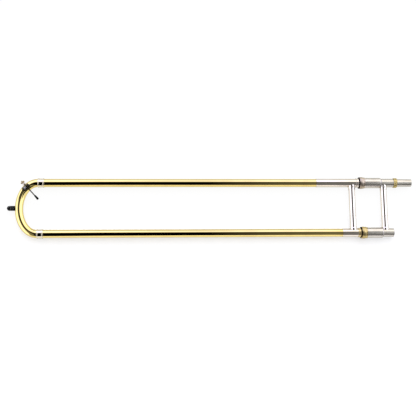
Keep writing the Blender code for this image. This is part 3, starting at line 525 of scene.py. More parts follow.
SADDLE_SILVER = metal(
    "tarnished_saddle", (0.10, 0.088, 0.05), (0.025, 0.022, 0.012), 0.22, (0.4, 0.38, 0.34),
    grain=0.2,
)
CHROME = metal("chrome_plate", (0.86, 0.87, 0.88), (0.82, 0.83, 0.85), 0.03, (0.9, 0.9, 0.9))
STEEL = metal("turned_steel", (0.52, 0.52, 0.53), (0.40, 0.40, 0.41), 0.22, (0.8, 0.8, 0.8), grain=0.4)
# The bumper's grey patches are painted speckled highlights as well as wear
RUBBER = rubber("bumper_rubber", (0.002, 0.002, 0.002), (0.11, 0.11, 0.11), 0.32)
TOUCH = rubber("touch_rubber", (0.002, 0.002, 0.002), (0.006, 0.006, 0.006), 0.28)
CORK = cork()
# Near-black painted shade for the insides and front edges of the mouths
PAINTED_SHADE = painted_shade_inside()


def place_piece(obj, finish, body, *nodes):
    """Gives a piece its finish, the body it rides on and the CAD nodes that it stands for."""
    obj.data.validate()
    obj.data.materials.clear()
    obj.data.materials.append(finish)
    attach(obj, body)
    if nodes:
        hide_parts(*nodes)


# ---- Tubes, sleeves and end rings ----

END_RING_FINISHES = {"bell_side": SILVER, "mouthpiece_side": DULL_BRASS}


def end_ring_outline():
    """A ring with a fine bead round each edge."""
    bead, groove = 0.3, 0.25
    outline = [(END_RING_BORE, END_RING_END)]
    outline += arc((END_RING, END_RING_END - bead), bead, pi / 2, -pi / 2)
    outline += [(END_RING, END_RING_END - 2 * bead - groove), (END_RING, END_RING_START + 2 * bead + groove)]
    outline += arc((END_RING, END_RING_START + bead), bead, pi / 2, -pi / 2)
    return outline + [(END_RING_BORE, END_RING_START)]


for end, side in SIDES:
    place = tube_place(side)
    piece = tube("fine_outer_tube_" + end, TUBE, TUBE_BORE, TUBE_START, TUBE_END, place)
    place_piece(piece, BRASS, "outer_slide", "outer_tube_" + end)
    piece = tube("fine_oversleeve_" + end, SLEEVE, SLEEVE_BORE, TUBE_END - SLEEVE_LENGTHS[end], TUBE_END, place)
    place_piece(piece, SILVER, "outer_slide", "oversleeve_" + end)
    piece = lathe("fine_end_ring_" + end, end_ring_outline(), place)
    place_piece(piece, END_RING_FINISHES[end], "outer_slide", "end_ring_" + end)
    piece = tube("fine_inner_tube_" + end, INNER, INNER_BORE, INNER_START, INNER_ENDS[end], place)
    place_piece(piece, CHROME, "inner_slide", "inner_tube_" + end)
    stocking_end = INNER_START + STOCKING_LENGTH
    piece = tube("fine_stocking_" + end, STOCKING, OVER_INNER, INNER_START, stocking_end, place, 0.12)
    place_piece(piece, CHROME, "inner_slide", "stocking_" + end)
    piece = tube("fine_cork_" + end, CORK_RING, OVER_INNER, CORK_START, CORK_END, place, 0.3)
    place_piece(piece, CORK, "inner_slide", "cork_" + end)


# ---- Cork barrels, their mouths and the slide lock ----

# The first three numbers place the painted shade: how far out it reaches inside the mouths, how wide its band round
# the front edge is, and how squarely a face must look at the axis to get it
MOUTH_INSIDE = 10.6
PAINTED_SHADE_EDGE = 1.3
LOOKS_IN = -0.3
LIP_END = 2.0
BARREL_STARTS = {"bell_side": 2.3, "mouthpiece_side": 4.0}
LOCK_TURN = radians(30)
LUG_TURN = radians(30)
KNOB_TURN = radians(22)
LOCK_SCREW_AT = 5.8
LOCK_SCREW_HOLE = 0.65
POCKET = 10.4
POCKET_END = 3.7
bell = tube_place(+1)
mouthpiece = tube_place(-1)


def shade_mouth_inside(obj):
    """A mouth's front edge, and the faces inside it that look at the axis, get painted shade as a second material."""
    obj.data.materials.append(PAINTED_SHADE)
    for face in obj.data.polygons:
        flat = Vector((face.center.x, face.center.y))
        looks_in = Vector((face.normal.x, face.normal.y)).dot(flat.normalized()) < LOOKS_IN
        # A band of painted shade round each mouth's front edge, for the shade in the gap before the lip
        in_edge_shade = face.center.z < (PAINTED_SHADE_EDGE - RIM_FRONT) * MM
        if in_edge_shade or (looks_in and flat.length < MOUTH_INSIDE * MM):
            face.material_index = 1


def barrel_outline(end):
    """A barrel that closes in on the inner tube at its end. The mouthpiece-side one has a low shoulder behind its
    lock ring."""
    rounding = 1.9
    outline = [(OVER_INNER, BARREL_END)]
    outline += arc((BARREL - rounding, BARREL_END - rounding), rounding, pi / 2, 0, 12)
    if end == "mouthpiece_side":
        front, back, top, chamfer = 7.5, 8.7, BARREL + 0.6, 0.15
        outline += [(BARREL, back), (top - chamfer, back), (top, back - chamfer), (top, front), (BARREL, front)]
    start = BARREL_STARTS[end]
    return outline + [(BARREL, start), (BARREL_BORE, start), (BARREL_BORE, BARREL_FLOOR), (OVER_INNER, BARREL_FLOOR)]


def rim_outline(back):
    """A low step, a wide bulge with a flared front edge, and a lip inside that ends in the given points."""
    step_end, bulge_end, chamfer = 7.2, 4.7, 0.2
    crease_depth, crease_width = 0.1, 0.15
    bulge_steps, drop = 12, 0.75
    edge, flare, flare_length, flare_steps = 0.27, 0.8, 3.3, 8
    outline = [(OVER_BARREL, step_end), (RIM_STEP - chamfer, step_end), (RIM_STEP, step_end - chamfer)]
    outline += [(RIM_STEP, bulge_end), (RIM_STEP - crease_depth, bulge_end - crease_width)]
    for i in range(2 * bulge_steps + 1):
        share = 1 - i / bulge_steps
        outline.append((RIM - drop * share**2, RIM_FRONT * share))
    outline += arc((RIM - drop - edge, 0.05 - RIM_FRONT), edge, 0, -pi)
    for i in range(1, flare_steps + 1):
        share = i / flare_steps
        outline.append((BARREL_BORE + flare * (1 - share) ** 1.5, 0.1 - RIM_FRONT + flare_length * share))
    return outline + [(BARREL_BORE, LIP_END)] + back


piece = lathe("fine_barrel_bell_side", barrel_outline("bell_side"), bell)
place_piece(piece, DULL_SILVER, "inner_slide", "cork_barrel_bell_side")
shade_mouth_inside(piece)

# The lock ring's guide screw turns in a slot through the barrel's wall, as far as the ring turns
slot_out = Vector((0, cos(LOCK_TURN / 2), sin(LOCK_TURN / 2)))
slot_place = frame_at(on_tube(-1, LOCK_SCREW_AT), slot_out, Vector((1, 0, 0)))
slot_reach, inside_wall, outside_wall = 3.4, 7.5, 12.0
near, far = (-LOCK_SCREW_HOLE, -slot_reach, inside_wall), (LOCK_SCREW_HOLE, slot_reach, outside_wall)
piece = lathe("fine_barrel_mouthpiece_side", barrel_outline("mouthpiece_side"), mouthpiece)
carve(piece, "DIFFERENCE", box("slot", near, far, slot_place))
place_piece(piece, DULL_SILVER, "inner_slide", "cork_barrel_mouthpiece_side")
shade_mouth_inside(piece)

piece = lathe("fine_barrel_rim", rim_outline([(OVER_BARREL, LIP_END)]), bell)
place_piece(piece, RIM_SILVER, "inner_slide", "barrel_rim_bell_side")
shade_mouth_inside(piece)

# The lug on the outer slide goes in by the ring's notch, and the ring's pocket traps it when the ring turns
lug_out = Vector((0, -cos(LUG_TURN), -sin(LUG_TURN)))
lug_place = frame_at(on_tube(-1), lug_out, Vector((1, 0, 0)))
screw_place = frame_at(on_tube(-1, LOCK_SCREW_AT), Vector((0, 1, 0)), Vector((1, 0, 0)))
back = [(POCKET, LIP_END), (POCKET, POCKET_END), (OVER_BARREL, POCKET_END)]
lock = lathe("fine_lock_ring", rim_outline(back), mouthpiece)
half_notch = 1.9
notch = box("notch", (-RIM_FRONT - REST_GAP, -half_notch, 0.0), (POCKET_END, half_notch, POCKET), lug_place)
carve(lock, "DIFFERENCE", notch, rod("hole", LOCK_SCREW_HOLE, 0, 23, screw_place))
place_piece(lock, RIM_BRASS, "slide_lock", "slide_lock_ring")
shade_mouth_inside(lock)

knob_from_axis = 11.4
knob_out = Vector((0, -cos(KNOB_TURN), sin(KNOB_TURN)))
knob_place = frame_at(on_tube(-1) + knob_out * knob_from_axis, Vector((-1, 0, 0)), Vector((0, 0, 1)))
outline = [(0.0, 4.8)] + arc((0.4, 4.0), 0.8, pi / 2, 0)
outline += [(1.2, 3.2), (1.0, 3.0), (1.0, 2.7), (1.2, 2.5), (1.2, -1.3), (0.0, -1.3)]
place_piece(lathe("lock_knob", outline, knob_place, SMALL, 0.08), DULL_BRASS, "slide_lock")

head, shank, head_top, head_base, shank_end = 0.9, 0.5, 11.15, 10.75, 9.4
outline = [(0, head_top), (head - 0.2, head_top), (head, head_top - 0.15), (head, head_base)]
outline += [(shank, head_base), (shank, shank_end), (0, shank_end)]
screw = lathe("fine_lock_screw", outline, screw_place, SMALL)
carve(screw, "DIFFERENCE", box("slit", (-1.2, -0.13, head_top - 0.18), (1.2, 0.13, 12), screw_place))
place_piece(screw, STEEL, "slide_lock", "slide_lock_screw")

lug_start, lug_end, half_lug, lug_base, lug_top = 2.3, 3.4, 1.5, 7.45, 10.0
lug = box("fine_lock_lug", (lug_start, -half_lug, lug_base), (lug_end, half_lug, lug_top), lug_place)
round_edges(lug, 0.12)
carve(lug, "DIFFERENCE", rod("seat", SLEEVE + SEAT_GAP, -4, 12, mouthpiece, FINE))
place_piece(lug, BRASS, "outer_slide", "lock_lug")


# ---- Braces ----

BRACE_WALL = 0.6
BRACE_JOINT = 65.3
BRACE_EDGE = 0.18
SPIGOT = 5.25
SPIGOT_BORE = 4.75
SPIGOT_LENGTH = 8.0


def flange_outline(seat):
    """A neck round the brace's tube that flares out to a foot, which is cut to the tube it sits on."""
    fillet, flare, chamfer = 2.3, 0.85, 0.2
    bore = BRACE + SEAT_GAP
    neck = bore + 0.35
    shoulder = seat + SEAT_GAP + fillet
    top = shoulder + 3.0
    outline = [(bore, top), (neck - chamfer, top), (neck, top - chamfer)]
    for i in range(13):
        angle = pi / 2 * i / 12
        outline.append((neck + flare * (1 - cos(angle)), shoulder - fillet * sin(angle)))
    return outline + [(neck + flare, 0.0), (bore, 0.0)]


def brace(name, along, seats, body, beside_barrels=False):
    """A brace of two tubes, the mouthpiece-side one with a spigot inside the other, and its two flanges."""
    short_end = 2 * HALF_SPACING - BRACE_JOINT - REST_GAP
    long_tube = tube(
        f"fine_{name}_tube_bell_side", BRACE, BRACE - BRACE_WALL, seats[0] + REST_GAP, BRACE_JOINT,
        brace_place(+1, along), BRACE_EDGE,
    )
    start, spigot_end = seats[1] + REST_GAP, short_end + SPIGOT_LENGTH
    outline = [(SPIGOT_BORE, spigot_end), (SPIGOT, spigot_end), (SPIGOT, short_end), (BRACE, short_end)]
    outline += [(BRACE, start), (SPIGOT_BORE, start)]
    short_tube = lathe(
        f"fine_{name}_tube_mouthpiece_side", outline, brace_place(-1, along), FINE, BRACE_EDGE
    )
    for (end, side), seat, bar in zip(SIDES, seats, (long_tube, short_tube)):
        flange = lathe(f"fine_{name}_flange_{end}", flange_outline(seat), brace_place(side, along))
        cutters = [rod("seat", seat + SEAT_GAP, along - 14, along + 14, tube_place(side), FINE)]
        if beside_barrels:
            cutters.append(rod("clear", BARREL + REST_GAP, 0, NECK_START, tube_place(side), FINE))
            carve(bar, "DIFFERENCE", rod("clear_bar", BARREL + REST_GAP, 0, NECK_START, tube_place(side), FINE))
        carve(flange, "DIFFERENCE", *cutters)
        place_piece(flange, SILVER, body, f"{name}_flange_{end}")
        place_piece(bar, SILVER, body, f"{name}_tube_{end}")


brace("outer_brace", OUTER_BRACE, (SLEEVE, SLEEVE), "outer_slide")
brace("inner_brace", INNER_BRACE, (NECK, RECEIVER), "inner_slide", True)


# ---- Receiver, leadpipe and bell end ----

rounding, socket_mouth = 0.9, 6.35
socket_end = INNER_ENDS["mouthpiece_side"] + REST_GAP
outline = [(socket_mouth, RECEIVER_END)] + arc((RECEIVER - rounding, RECEIVER_END - rounding), rounding, pi / 2, 0)
outline += [(RECEIVER, NECK_START + 0.2), (RECEIVER - 0.2, NECK_START), (OVER_INNER, NECK_START)]
outline += [(OVER_INNER, socket_end), (SOCKET_THROAT, socket_end)]
place_piece(lathe("fine_receiver", outline, mouthpiece), DULL_SILVER, "inner_slide", "mouthpiece_receiver")

leadpipe, leadpipe_end, venturi, venturi_at = INNER_BORE - SEAT_GAP, -184.7, 5.0, 30.3
leadpipe_start = INNER_ENDS["mouthpiece_side"]
outline = [(SOCKET_THROAT, leadpipe_start), (leadpipe, leadpipe_start), (leadpipe, leadpipe_end)]
outline += [(leadpipe - 0.3, leadpipe_end), (venturi, venturi_at)]
place_piece(lathe("fine_leadpipe", outline, mouthpiece), SILVER, "inner_slide", "leadpipe")

neck_step = INNER_ENDS["bell_side"] + REST_GAP
outline = [(OVER_TENON, NECK_END), (NECK, NECK_END), (NECK, NECK_START), (OVER_INNER, NECK_START)]
outline += [(OVER_INNER, neck_step), (OVER_TENON, neck_step)]
place_piece(lathe("fine_bell_neck", outline, bell, FINE, 0.25), DULL_SILVER, "inner_slide", "bell_neck")

root, tip, edge, tenon_start = 7.65, 7.2, 0.15, neck_step + REST_GAP
outline = [(INNER_BORE, TENON_END), (tip - edge, TENON_END), (tip, TENON_END - edge)]
outline += [(root, THREAD_END), (root, tenon_start), (INNER_BORE, tenon_start)]
place_piece(lathe("fine_bell_tenon", outline, bell), DULL_SILVER, "inner_slide", "bell_tenon")


def thread_ring(place):
    """A ring with a real helical thread, which fades out at both ends."""
    turns, depth, crest, fade = 6, 0.35, 9.4, 0.7
    pitch = (THREAD_END - THREAD_START) / turns
    rows = 73
    verts = []
    for i in range(rows):
        height = THREAD_START + (THREAD_END - THREAD_START) * i / (rows - 1)
        edge = min(1.0, (height - THREAD_START) / fade, (THREAD_END - height) / fade)
        for k in range(FINE):
            angle = 2 * pi * k / FINE
            phase = (height - THREAD_START) / pitch - k / FINE
            wave = abs(2 * (phase - floor(phase)) - 1)
            groove = min(1.0, max(0.0, (wave - 0.25) / 0.6))
            radius = crest - depth * (groove + (1 - edge) ** 2)
            verts.append((radius * cos(angle), radius * sin(angle), height))
    verts += circle(OVER_TENON, THREAD_END, FINE) + circle(OVER_TENON, THREAD_START, FINE)
    order = list(range(rows + 2))
    faces = []
    for low, high in zip(order, order[1:] + order[:1]):
        faces += band(low * FINE, high * FINE, FINE)
    return finished("fine_thread_ring", verts, faces, place)


place_piece(thread_ring(bell), THREAD_BRASS, "inner_slide", "bell_thread_ring")


# ---- Slide bow, ferrules and bumper ----

def bow_point(angle):
    """A point on the bow's centre line, by its angle from the tip toward the bell side."""
    x = MOUTH_X + BOW_START - BOW_DEPTH * cos(angle)
    return Vector((x, HALF_SPACING * sin(angle), AXIS_HEIGHT))


def bow_path(steps=144):
    """The bow's centre line from the middle of one ferrule to the middle of the other."""
    end = MOUTH_X + BOW_START + (FERRULE_LENGTH - REST_GAP) / 2
    curve = [bow_point(pi / 2 - pi * i / steps) for i in range(steps + 1)]
    return [Vector((end, HALF_SPACING, AXIS_HEIGHT)), *curve, Vector((end, -HALF_SPACING, AXIS_HEIGHT))]


def room_for_bow():
    return sweep("clear", bow_path(96), TUBE + SEAT_GAP, Matrix.Identity(4), FINE)


bow = sweep("fine_slide_bow", bow_path(), TUBE, Matrix.Identity(4), FINE, hollow=BOW_BORE)
place_piece(bow, BRASS, "outer_slide", "slide_bow")


def ferrule_outline():
    """A sleeve with a wide rounded rim at each end and a shallow waist between."""
    rim, rise, half_width = 8.3, 0.45, 1.2
    low, high = BOW_START, BOW_START + FERRULE_LENGTH
    outline = [(SLEEVE_BORE, high)]
    for middle in (high - half_width, low + half_width):
        for i in range(13):
            angle = pi / 2 - pi * i / 12
            outline.append((rim + rise * cos(angle), middle + half_width * sin(angle)))
    return outline + [(SLEEVE_BORE, low)]


for end, side in SIDES:
    piece = lathe("fine_ferrule_" + end, ferrule_outline(), tube_place(side))
    place_piece(piece, FERRULE_SILVER, "outer_slide", "bow_ferrule_" + end)

# The bumper's inside follows the stud, which stays hidden there as it is in the CAD
bumper_place = frame_at(bow_point(0.0), Vector((-1, 0, 0)), Vector((0, 0, 1)))
bumper, dome, dome_height, dome_steps, tip, foot = 4.7, 4.6, 4.8, 18, TUBE + 14.7, 4.0
stud, stud_top, stud_foot, stud_foot_top = 2.15, 16.4, 3.15, 8.9
outline = [(0.0, tip)]
for i in range(1, dome_steps + 1):
    angle = pi / 2 * (1 - i / dome_steps)
    outline.append((dome * cos(angle) ** 0.92, tip - dome_height + dome_height * sin(angle)))
outline += [(bumper, tip - 8.5), (bumper, foot), (stud_foot, foot), (stud_foot, stud_foot_top)]
outline += [(stud, stud_foot_top), (stud, stud_top), (0.0, stud_top)]
piece = lathe("fine_bumper", outline, bumper_place)
carve(piece, "DIFFERENCE", room_for_bow())
place_piece(piece, RUBBER, "outer_slide", "rubber_bumper")
stud_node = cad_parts["bumper_stud"]
stud_node.data.materials.clear()
stud_node.data.materials.append(BRASS)


# ---- Water key ----

# In the key's frame Z points up from the bow's centre line, X outward from the bow and Y along the hinge
KEY_ANGLE = radians(52.5)
KEY_SKEW = radians(-5.5)
HINGE = 12.4
HINGE_HOLE = 1.05
LEVER_Y = -1.6
LEVER_BARREL = 2.0
LEVER_END = 5.8
SADDLE_FLOOR = 3.9
SADDLE_TOP = 8.8
SADDLE_END = 7.3
SADDLE_HALF_WIDTH = 4.4
POST_WIDTH = 1.2
WIRE = 0.25
WIRE_SIDES = 12
COIL_START = 12
key_out = Vector((-cos(KEY_ANGLE) / BOW_DEPTH, sin(KEY_ANGLE) / HALF_SPACING, 0)).normalized()
key_out = Matrix.Rotation(KEY_SKEW, 3, "Z") @ key_out
key = frame_at(bow_point(KEY_ANGLE), Vector((0, 0, 1)), key_out)
hinge_place = key @ shift(0, 0, HINGE) @ Matrix.Rotation(-pi / 2, 4, "X")
out_place = key @ shift(0, LEVER_Y, 0) @ Matrix.Rotation(pi / 2, 4, "Y")
arm_place = key @ shift(0, LEVER_Y, HINGE) @ Matrix.Rotation(-pi / 2, 4, "Y")

bore, top, waist, waist_top, flare, flare_height = 1.5, 11.95, 2.6, 9.9, 1.6, 1.4
outline = [(bore, top), (waist - 0.25, top), (waist, top - 0.25), (waist, waist_top)]
outline += [(waist + flare * (i / 8) ** 2, waist_top - flare_height * i / 8) for i in range(1, 9)]
outline += [(waist + flare, SADDLE_FLOOR), (bore, SADDLE_FLOOR)]
nipple = lathe("fine_nipple", outline, out_place, SMALL)
carve(nipple, "DIFFERENCE", room_for_bow())
place_piece(nipple, DULL_SILVER, "outer_slide", "water_key_nipple")

near, far = (-SADDLE_HALF_WIDTH, -SADDLE_END, SADDLE_FLOOR), (SADDLE_HALF_WIDTH, SADDLE_END, SADDLE_TOP)
saddle = box("fine_saddle", near, far, key)
round_edges(saddle, 0.5)
settle(saddle)
for low in (-SADDLE_END, SADDLE_END - POST_WIDTH):
    high, half, chamfer = low + POST_WIDTH, 2.0, 0.15
    post = box("post", (-half, low, SADDLE_TOP - 0.3), (half, high, HINGE), key)
    outline = [(0, high), (half - chamfer, high), (half, high - chamfer)]
    outline += [(half, low + chamfer), (half - chamfer, low), (0, low)]
    carve(saddle, "UNION", post, lathe("eye", outline, hinge_place, SMALL))
carve(saddle, "DIFFERENCE", room_for_bow(), rod("hole", HINGE_HOLE, -9, 9, hinge_place))
place_piece(saddle, SADDLE_SILVER, "outer_slide", "water_key_saddle")

shank, shank_end, head, head_base, head_top = 0.9, 7.8, 1.6, -7.45, -8.25
outline = [(0, shank_end), (shank - 0.2, shank_end), (shank, shank_end - 0.2), (shank, head_base)]
outline += [(head, head_base), (head, head_top + 0.25), (head - 0.25, head_top), (0, head_top)]
hinge_screw = lathe("fine_hinge_screw", outline, hinge_place, SMALL)
carve(hinge_screw, "DIFFERENCE", box("slit", (-2, -0.2, -9), (2, 0.2, head_top + 0.35), hinge_place))
place_piece(hinge_screw, STEEL, "outer_slide", "water_key_screw")


def wire_path():
    """The spring's leg under the lever, its coil round the lever's barrel, and the leg that rests on the saddle."""
    coil, leg, pitch, turns, steps = 2.4, 7.0, 1.1, 3.5, 24
    end_x, end_z, bend = 3.6, 8.95, 1.2
    arm_root, arm_widening = 1.1, 0.1 / 30.4
    start = LEVER_Y + arm_root + REST_GAP + WIRE
    under = arm_root + arm_widening * leg + SEAT_GAP + WIRE
    points = [Vector((-leg + leg * 0.1 * i, LEVER_Y, HINGE - under)) for i in range(5)]
    first = Vector((0.0, start, HINGE - coil))
    last = points[-1]
    for i in range(1, 8):
        t = i / 8
        ease = t * t * (3 - 2 * t)
        points.append(Vector((last.x * (1 - t), last.y + (first.y - last.y) * ease, last.z + (first.z - last.z) * t)))
    for i in range(int(turns * steps) + 1):
        angle = 2 * pi * i / steps
        points.append(Vector((coil * sin(angle), start + pitch * i / steps, HINGE - coil * cos(angle))))
    end = start + pitch * turns
    for x, z in arc((bend - end_x, HINGE + coil - bend), bend, pi / 2, pi):
        points.append(Vector((x, end, z)))
    points.append(Vector((-end_x, end, end_z)))
    return points


# The leg under the lever turns with it, and meets the rest of the spring where the coil starts
points = wire_path()
spring = sweep("fine_key_spring", points[COIL_START:], WIRE, key, WIRE_SIDES)
place_piece(spring, STEEL, "outer_slide", "water_key_spring")
leg = sweep("fine_key_spring_leg", points[:COIL_START + 1], WIRE, key, WIRE_SIDES)
place_piece(leg, STEEL, "water_key")

# The lever's arm: distance from the hinge, half thickness and half width
ARM_STATIONS = [
    (0.0, 1.5, 1.5), (1.8, 1.4, 1.5), (3.0, 1.05, 1.35), (5.0, 0.85, 1.15), (12.0, 0.8, 1.05), (20.0, 0.8, 1.05),
    (25.0, 0.85, 1.1), (29.6, 0.9, 1.1), (30.2, 0.75, 0.95),
]
HOOK_REACH = 16.35
HOOK_STEPS = 16
HOOK_FINISH_FROM = 7.0
CUP = 3.85
CUP_BACK = 15.15
CUP_EDGE = 12.85
CUP_FLOOR = 13.95
CORK_PAD = 3.1

lever = rod("fine_key_lever", LEVER_BARREL, -LEVER_END, LEVER_END, hinge_place, soften=0.25)
arm = flat_bar("arm", ARM_STATIONS, arm_place)
knots = []
for i in range(HOOK_STEPS + 1):
    angle = pi / 2 * (1 - i / HOOK_STEPS)
    knots.append(Vector((HOOK_REACH * cos(angle), LEVER_Y, HINGE * sin(angle))))
knots += [Vector((x, LEVER_Y, z)) for x, z in ((16.2, -0.35), (15.6, -0.6), (14.6, -0.5))]
hook = sweep("hook", knots, 1.0, key, 32)
outline = [(0, CUP_BACK), (2.9, CUP_BACK), (3.5, CUP_BACK - 0.25), (CUP, CUP_BACK - 0.8), (CUP, CUP_EDGE)]
outline += [(CORK_PAD + SEAT_GAP, CUP_EDGE), (CORK_PAD + SEAT_GAP, CUP_FLOOR), (0, CUP_FLOOR)]
carve(lever, "UNION", arm, hook, lathe("cup", outline, out_place, SMALL, 0.1))
carve(lever, "DIFFERENCE", rod("bore", HINGE_HOLE, -9, 9, hinge_place))
place_piece(lever, KEY_SILVER, "water_key", "water_key_lever")
lever.data.materials.append(HOOK_SILVER)
for face in lever.data.polygons:
    if (lever.matrix_world @ face.center - key.translation).dot(key_out) > HOOK_FINISH_FROM * MM:
        face.material_index = 1

pad = rod("fine_key_cork", CORK_PAD, 12.1, CUP_FLOOR - SEAT_GAP, out_place, soften=0.25)
place_piece(pad, CORK, "water_key", "water_key_cork")
touch_tip = 33.4
outline = [(0.0, touch_tip)] + arc((1.1, touch_tip - 1.1), 1.1, pi / 2, 0)
outline += [(2.1, 30.0), (1.85, 27.5), (1.66, 25.0), (1.6, 23.8), (1.45, 23.6), (1.33, 23.6)]
outline += [(1.35, 30.55), (0, 30.55)]
touch = lathe("fine_key_touch", outline, arm_place, SMALL)
place_piece(touch, TOUCH, "water_key", "water_key_touch")


# ---- Floor, light and camera, in metres ----

WHITE = (1.0, 1.0, 1.0)
FLOOR_RADIUS = 8.0
FLOOR_DEPTH = 0.0005
PAPER = 0.80
# Toward the near side the floor shows less of its own white and more of the light, and so of the shadow
SHADOW_EDGE = (-0.045, 0.0)
SHADOW_SHARES = (0.44, 0.09)
FLOOR_WHITE = 0.998


def seen_rays(nodes, *more):
    """1 for the rays that see the background as it is: camera and transmission rays, and those named."""
    rays = nodes.add("ShaderNodeLightPath")
    seen = rays.outputs["Is Camera Ray"]
    for name in ("Is Transmission Ray", *more):
        seen = nodes.math("MAXIMUM", seen, rays.outputs[name])
    return seen


def studio_floor():
    """Pale paper, which camera and reflections see as white with the object's soft shadow on it."""
    mesh = bpy.data.meshes.new("studio_floor")
    shape = bmesh.new()
    bmesh.ops.create_circle(shape, cap_ends=True, segments=FINE, radius=FLOOR_RADIUS)
    shape.to_mesh(mesh)
    shape.free()
    made = bpy.data.objects.new("studio_floor", mesh)
    bpy.context.scene.collection.objects.link(made)
    material, nodes, shader = new_material("studio_paper")
    shader.inputs["Base Color"].default_value = (PAPER, PAPER, PAPER, 1.0)
    shader.inputs["Roughness"].default_value = 0.9
    shader.inputs["Specular IOR Level"].default_value = 0.0
    split = nodes.add("ShaderNodeSeparateXYZ")
    nodes.link(nodes.add("ShaderNodeTexCoord").outputs["Object"], split.inputs[0])
    share = nodes.ramp(split.outputs[1], *SHADOW_EDGE, *SHADOW_SHARES)
    glow = nodes.add("ShaderNodeEmission")
    nodes.link(nodes.math("SUBTRACT", FLOOR_WHITE, share), glow.inputs["Strength"])
    paper = nodes.add("ShaderNodeBsdfDiffuse")
    nodes.link(share, paper.inputs["Color"])
    both = nodes.add("ShaderNodeAddShader")
    nodes.link(glow.outputs[0], both.inputs[0])
    nodes.link(paper.outputs[0], both.inputs[1])
    choice = nodes.add("ShaderNodeMixShader")
    nodes.link(seen_rays(nodes, "Is Glossy Ray"), choice.inputs[0])
    nodes.link(shader.outputs[0], choice.inputs[1])
    nodes.link(both.outputs[0], choice.inputs[2])
    nodes.link(choice.outputs[0], material.node_tree.nodes["Material Output"].inputs[0])
    mesh.materials.append(material)
    made.location = (0.0, 0.0, -FLOOR_DEPTH)


# The tent's own light, and what it turns to on the far side and on the near side
TENT = (0.95, 0.96, 0.98)
FAR_SIDE = (0.62, 0.60, 0.56)
NEAR_SIDE = (1.50, 1.40, 1.45)
# The bank's tone at its bow end, then each span along the tubes over which it turns to the next tone
BANK_AT_BOW = (1.85, 1.9, 2.8)
BANK_TONES = (
    ((-0.12, 0.05), (1.4, 1.42, 2.1)),
    ((0.05, 0.15), (1.65, 1.68, 2.6)),
    ((0.20, 0.25), (1.85, 1.78, 1.68)),
)
END_BANK = (1.8, 1.82, 2.2)


def overhead_gap(nodes, toward, across, at_bow):
    """1 inside the unlit gap. Toward the tent's ends its bell-side edge leans and its other edge opens out."""
    past_tubes = nodes.excess(toward, 0.22)
    step = nodes.math("MINIMUM", nodes.product(nodes.excess(toward, 0.26), 38.0), nodes.product(past_tubes, 14.0))
    step = nodes.product(step, nodes.ramp(toward, 0.335, 0.365, 1.0, 0.0))
    lean = nodes.total(nodes.product(at_bow, 1.5), step, nodes.product(nodes.excess(-0.20, toward), -1.6))
    opening = nodes.total(nodes.product(at_bow, 25.0), nodes.product(past_tubes, 60.0))
    lit_corner = nodes.product(nodes.ramp(toward, 0.33, 0.41), nodes.ramp(across, -0.10, -0.02))
    bow_end = nodes.total(toward, nodes.ramp(across, 0.33, 0.48, 0.0, 0.14))
    return nodes.product(
        nodes.ramp(bow_end, -0.62, -0.50),
        nodes.math("SUBTRACT", 1.0, lit_corner),
        nodes.ramp(toward, 0.72, 0.85, 1.0, 0.0),
        nodes.ramp(nodes.total(across, opening), -3.3, -2.4),
        nodes.ramp(nodes.total(across, lean), 0.30, 0.50, 1.0, 0.0),
    )


def gap_light(nodes, toward, across):
    """The gap is black over the tubes, and grey over the barrels and the bow's tip."""
    over_barrels = nodes.total(
        nodes.ramp(toward, 0.07, 0.22, 0.0, 0.18, smooth=False), nodes.ramp(toward, 0.22, 0.30, 0.0, 0.12)
    )
    over_barrels = nodes.product(over_barrels, nodes.ramp(toward, 0.335, 0.37, 1.0, 0.2))
    over_tip = nodes.product(nodes.ramp(toward, -0.30, -0.22, 0.25, 0.0), nodes.ramp(across, 0.22, 0.32, 1.0, 0.0))
    return nodes.total(over_barrels, over_tip)


def bank_share(nodes, along, across, at_bow):
    """1 inside the bright bank: a ring of slopes round the vertical, on the bell side alone."""
    slope = nodes.math("SQRT", nodes.total(nodes.product(along, along), nodes.product(across, across)))
    return nodes.product(
        nodes.ramp(slope, 0.45, 0.65),
        nodes.ramp(slope, 3.4, 6.0, 1.0, 0.0),
        nodes.ramp(nodes.total(across, at_bow), 0.0, 0.5),
    )


def soft_light(nodes, direction):
    """Plain soft light for what isn't metal, from above and a little beyond."""
    above = nodes.total(nodes.product(direction.outputs[2], 0.927), nodes.product(direction.outputs[1], 0.375))
    return nodes.ramp(above, 0.7, 0.97, 0.27, 2.9)


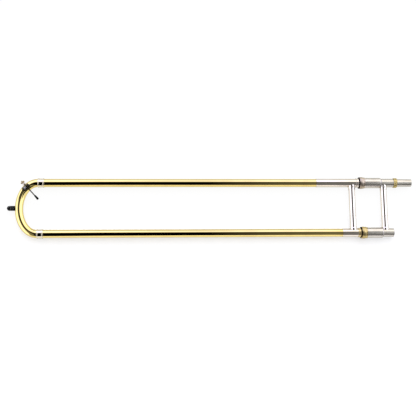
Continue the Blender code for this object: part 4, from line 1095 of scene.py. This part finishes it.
def studio_world():
    """A white tent with a bright bank and an unlit gap overhead, where the camera stands, as the metal reflects
    them. They are laid out by the direction's X, along the tubes, and by its slopes from the vertical."""
    world = bpy.data.worlds.new("studio")
    bpy.context.scene.world = world
    world.use_nodes = True
    nodes = Nodes(world.node_tree)
    background = world.node_tree.nodes["Background"]
    place = nodes.add("ShaderNodeTexCoord")
    direction = nodes.add("ShaderNodeSeparateXYZ")
    nodes.link(place.outputs["Generated"], direction.inputs[0])
    toward = direction.outputs[0]
    height = nodes.math("MAXIMUM", direction.outputs[2], 0.001)
    along = nodes.math("DIVIDE", toward, height)
    across = nodes.math("DIVIDE", direction.outputs[1], height)
    at_bow = nodes.math("MINIMUM", nodes.excess(-0.07, toward), 0.12)

    light = nodes.mix(nodes.ramp(across, 3.0, 6.0), TENT, FAR_SIDE)
    light = nodes.mix(nodes.ramp(across, -4.0, -1.6, 1.0, 0.0), light, NEAR_SIDE)
    tone = BANK_AT_BOW
    for span, following in BANK_TONES:
        tone = nodes.mix(nodes.ramp(toward, *span), tone, following)
    light = nodes.mix(bank_share(nodes, along, across, at_bow), light, tone)
    light = nodes.mix(nodes.ramp(toward, -0.60, -0.50, 1.0, 0.0), light, END_BANK)
    light = nodes.mix(nodes.ramp(toward, 0.33, 0.45), light, END_BANK)
    gap = overhead_gap(nodes, toward, across, at_bow)
    light = nodes.mix(gap, light, gap_light(nodes, toward, across))
    rays = nodes.add("ShaderNodeLightPath")
    light = nodes.mix(rays.outputs["Is Diffuse Ray"], light, soft_light(nodes, direction))
    nodes.link(nodes.mix(seen_rays(nodes), light, WHITE), background.inputs["Color"])
    background.inputs["Strength"].default_value = 1.0


SENSOR_WIDTH = 36.0
FOCAL_LENGTH_IN_WIDTHS = 800 / 416
CAMERA_DISTANCE = 1.529
LOOKS_AT = (-0.00945, 0.0, 0.0115)
CAMERA_ROLL = radians(0.11)
CAMERA_SWING = radians(3.86)
CAMERA_TILT = radians(-10.2)


def photo_camera():
    """The photograph's viewing angle: almost from straight above."""
    camera = bpy.data.objects.new("camera", bpy.data.cameras.new("camera"))
    bpy.context.scene.collection.objects.link(camera)
    camera.data.sensor_width = SENSOR_WIDTH
    camera.data.lens = FOCAL_LENGTH_IN_WIDTHS * SENSOR_WIDTH
    turn = Matrix.Rotation(CAMERA_ROLL, 4, "Z") @ Matrix.Rotation(CAMERA_SWING, 4, "Y")
    turn = turn @ Matrix.Rotation(CAMERA_TILT, 4, "X")
    seen_from = Matrix.Translation((0.0, 0.0, -CAMERA_DISTANCE)) @ turn
    camera.matrix_world = Matrix.Translation(LOOKS_AT) @ seen_from.inverted()
    bpy.context.scene.camera = camera


studio_floor()
studio_world()
photo_camera()
bpy.context.scene.view_settings.view_transform = "Standard"
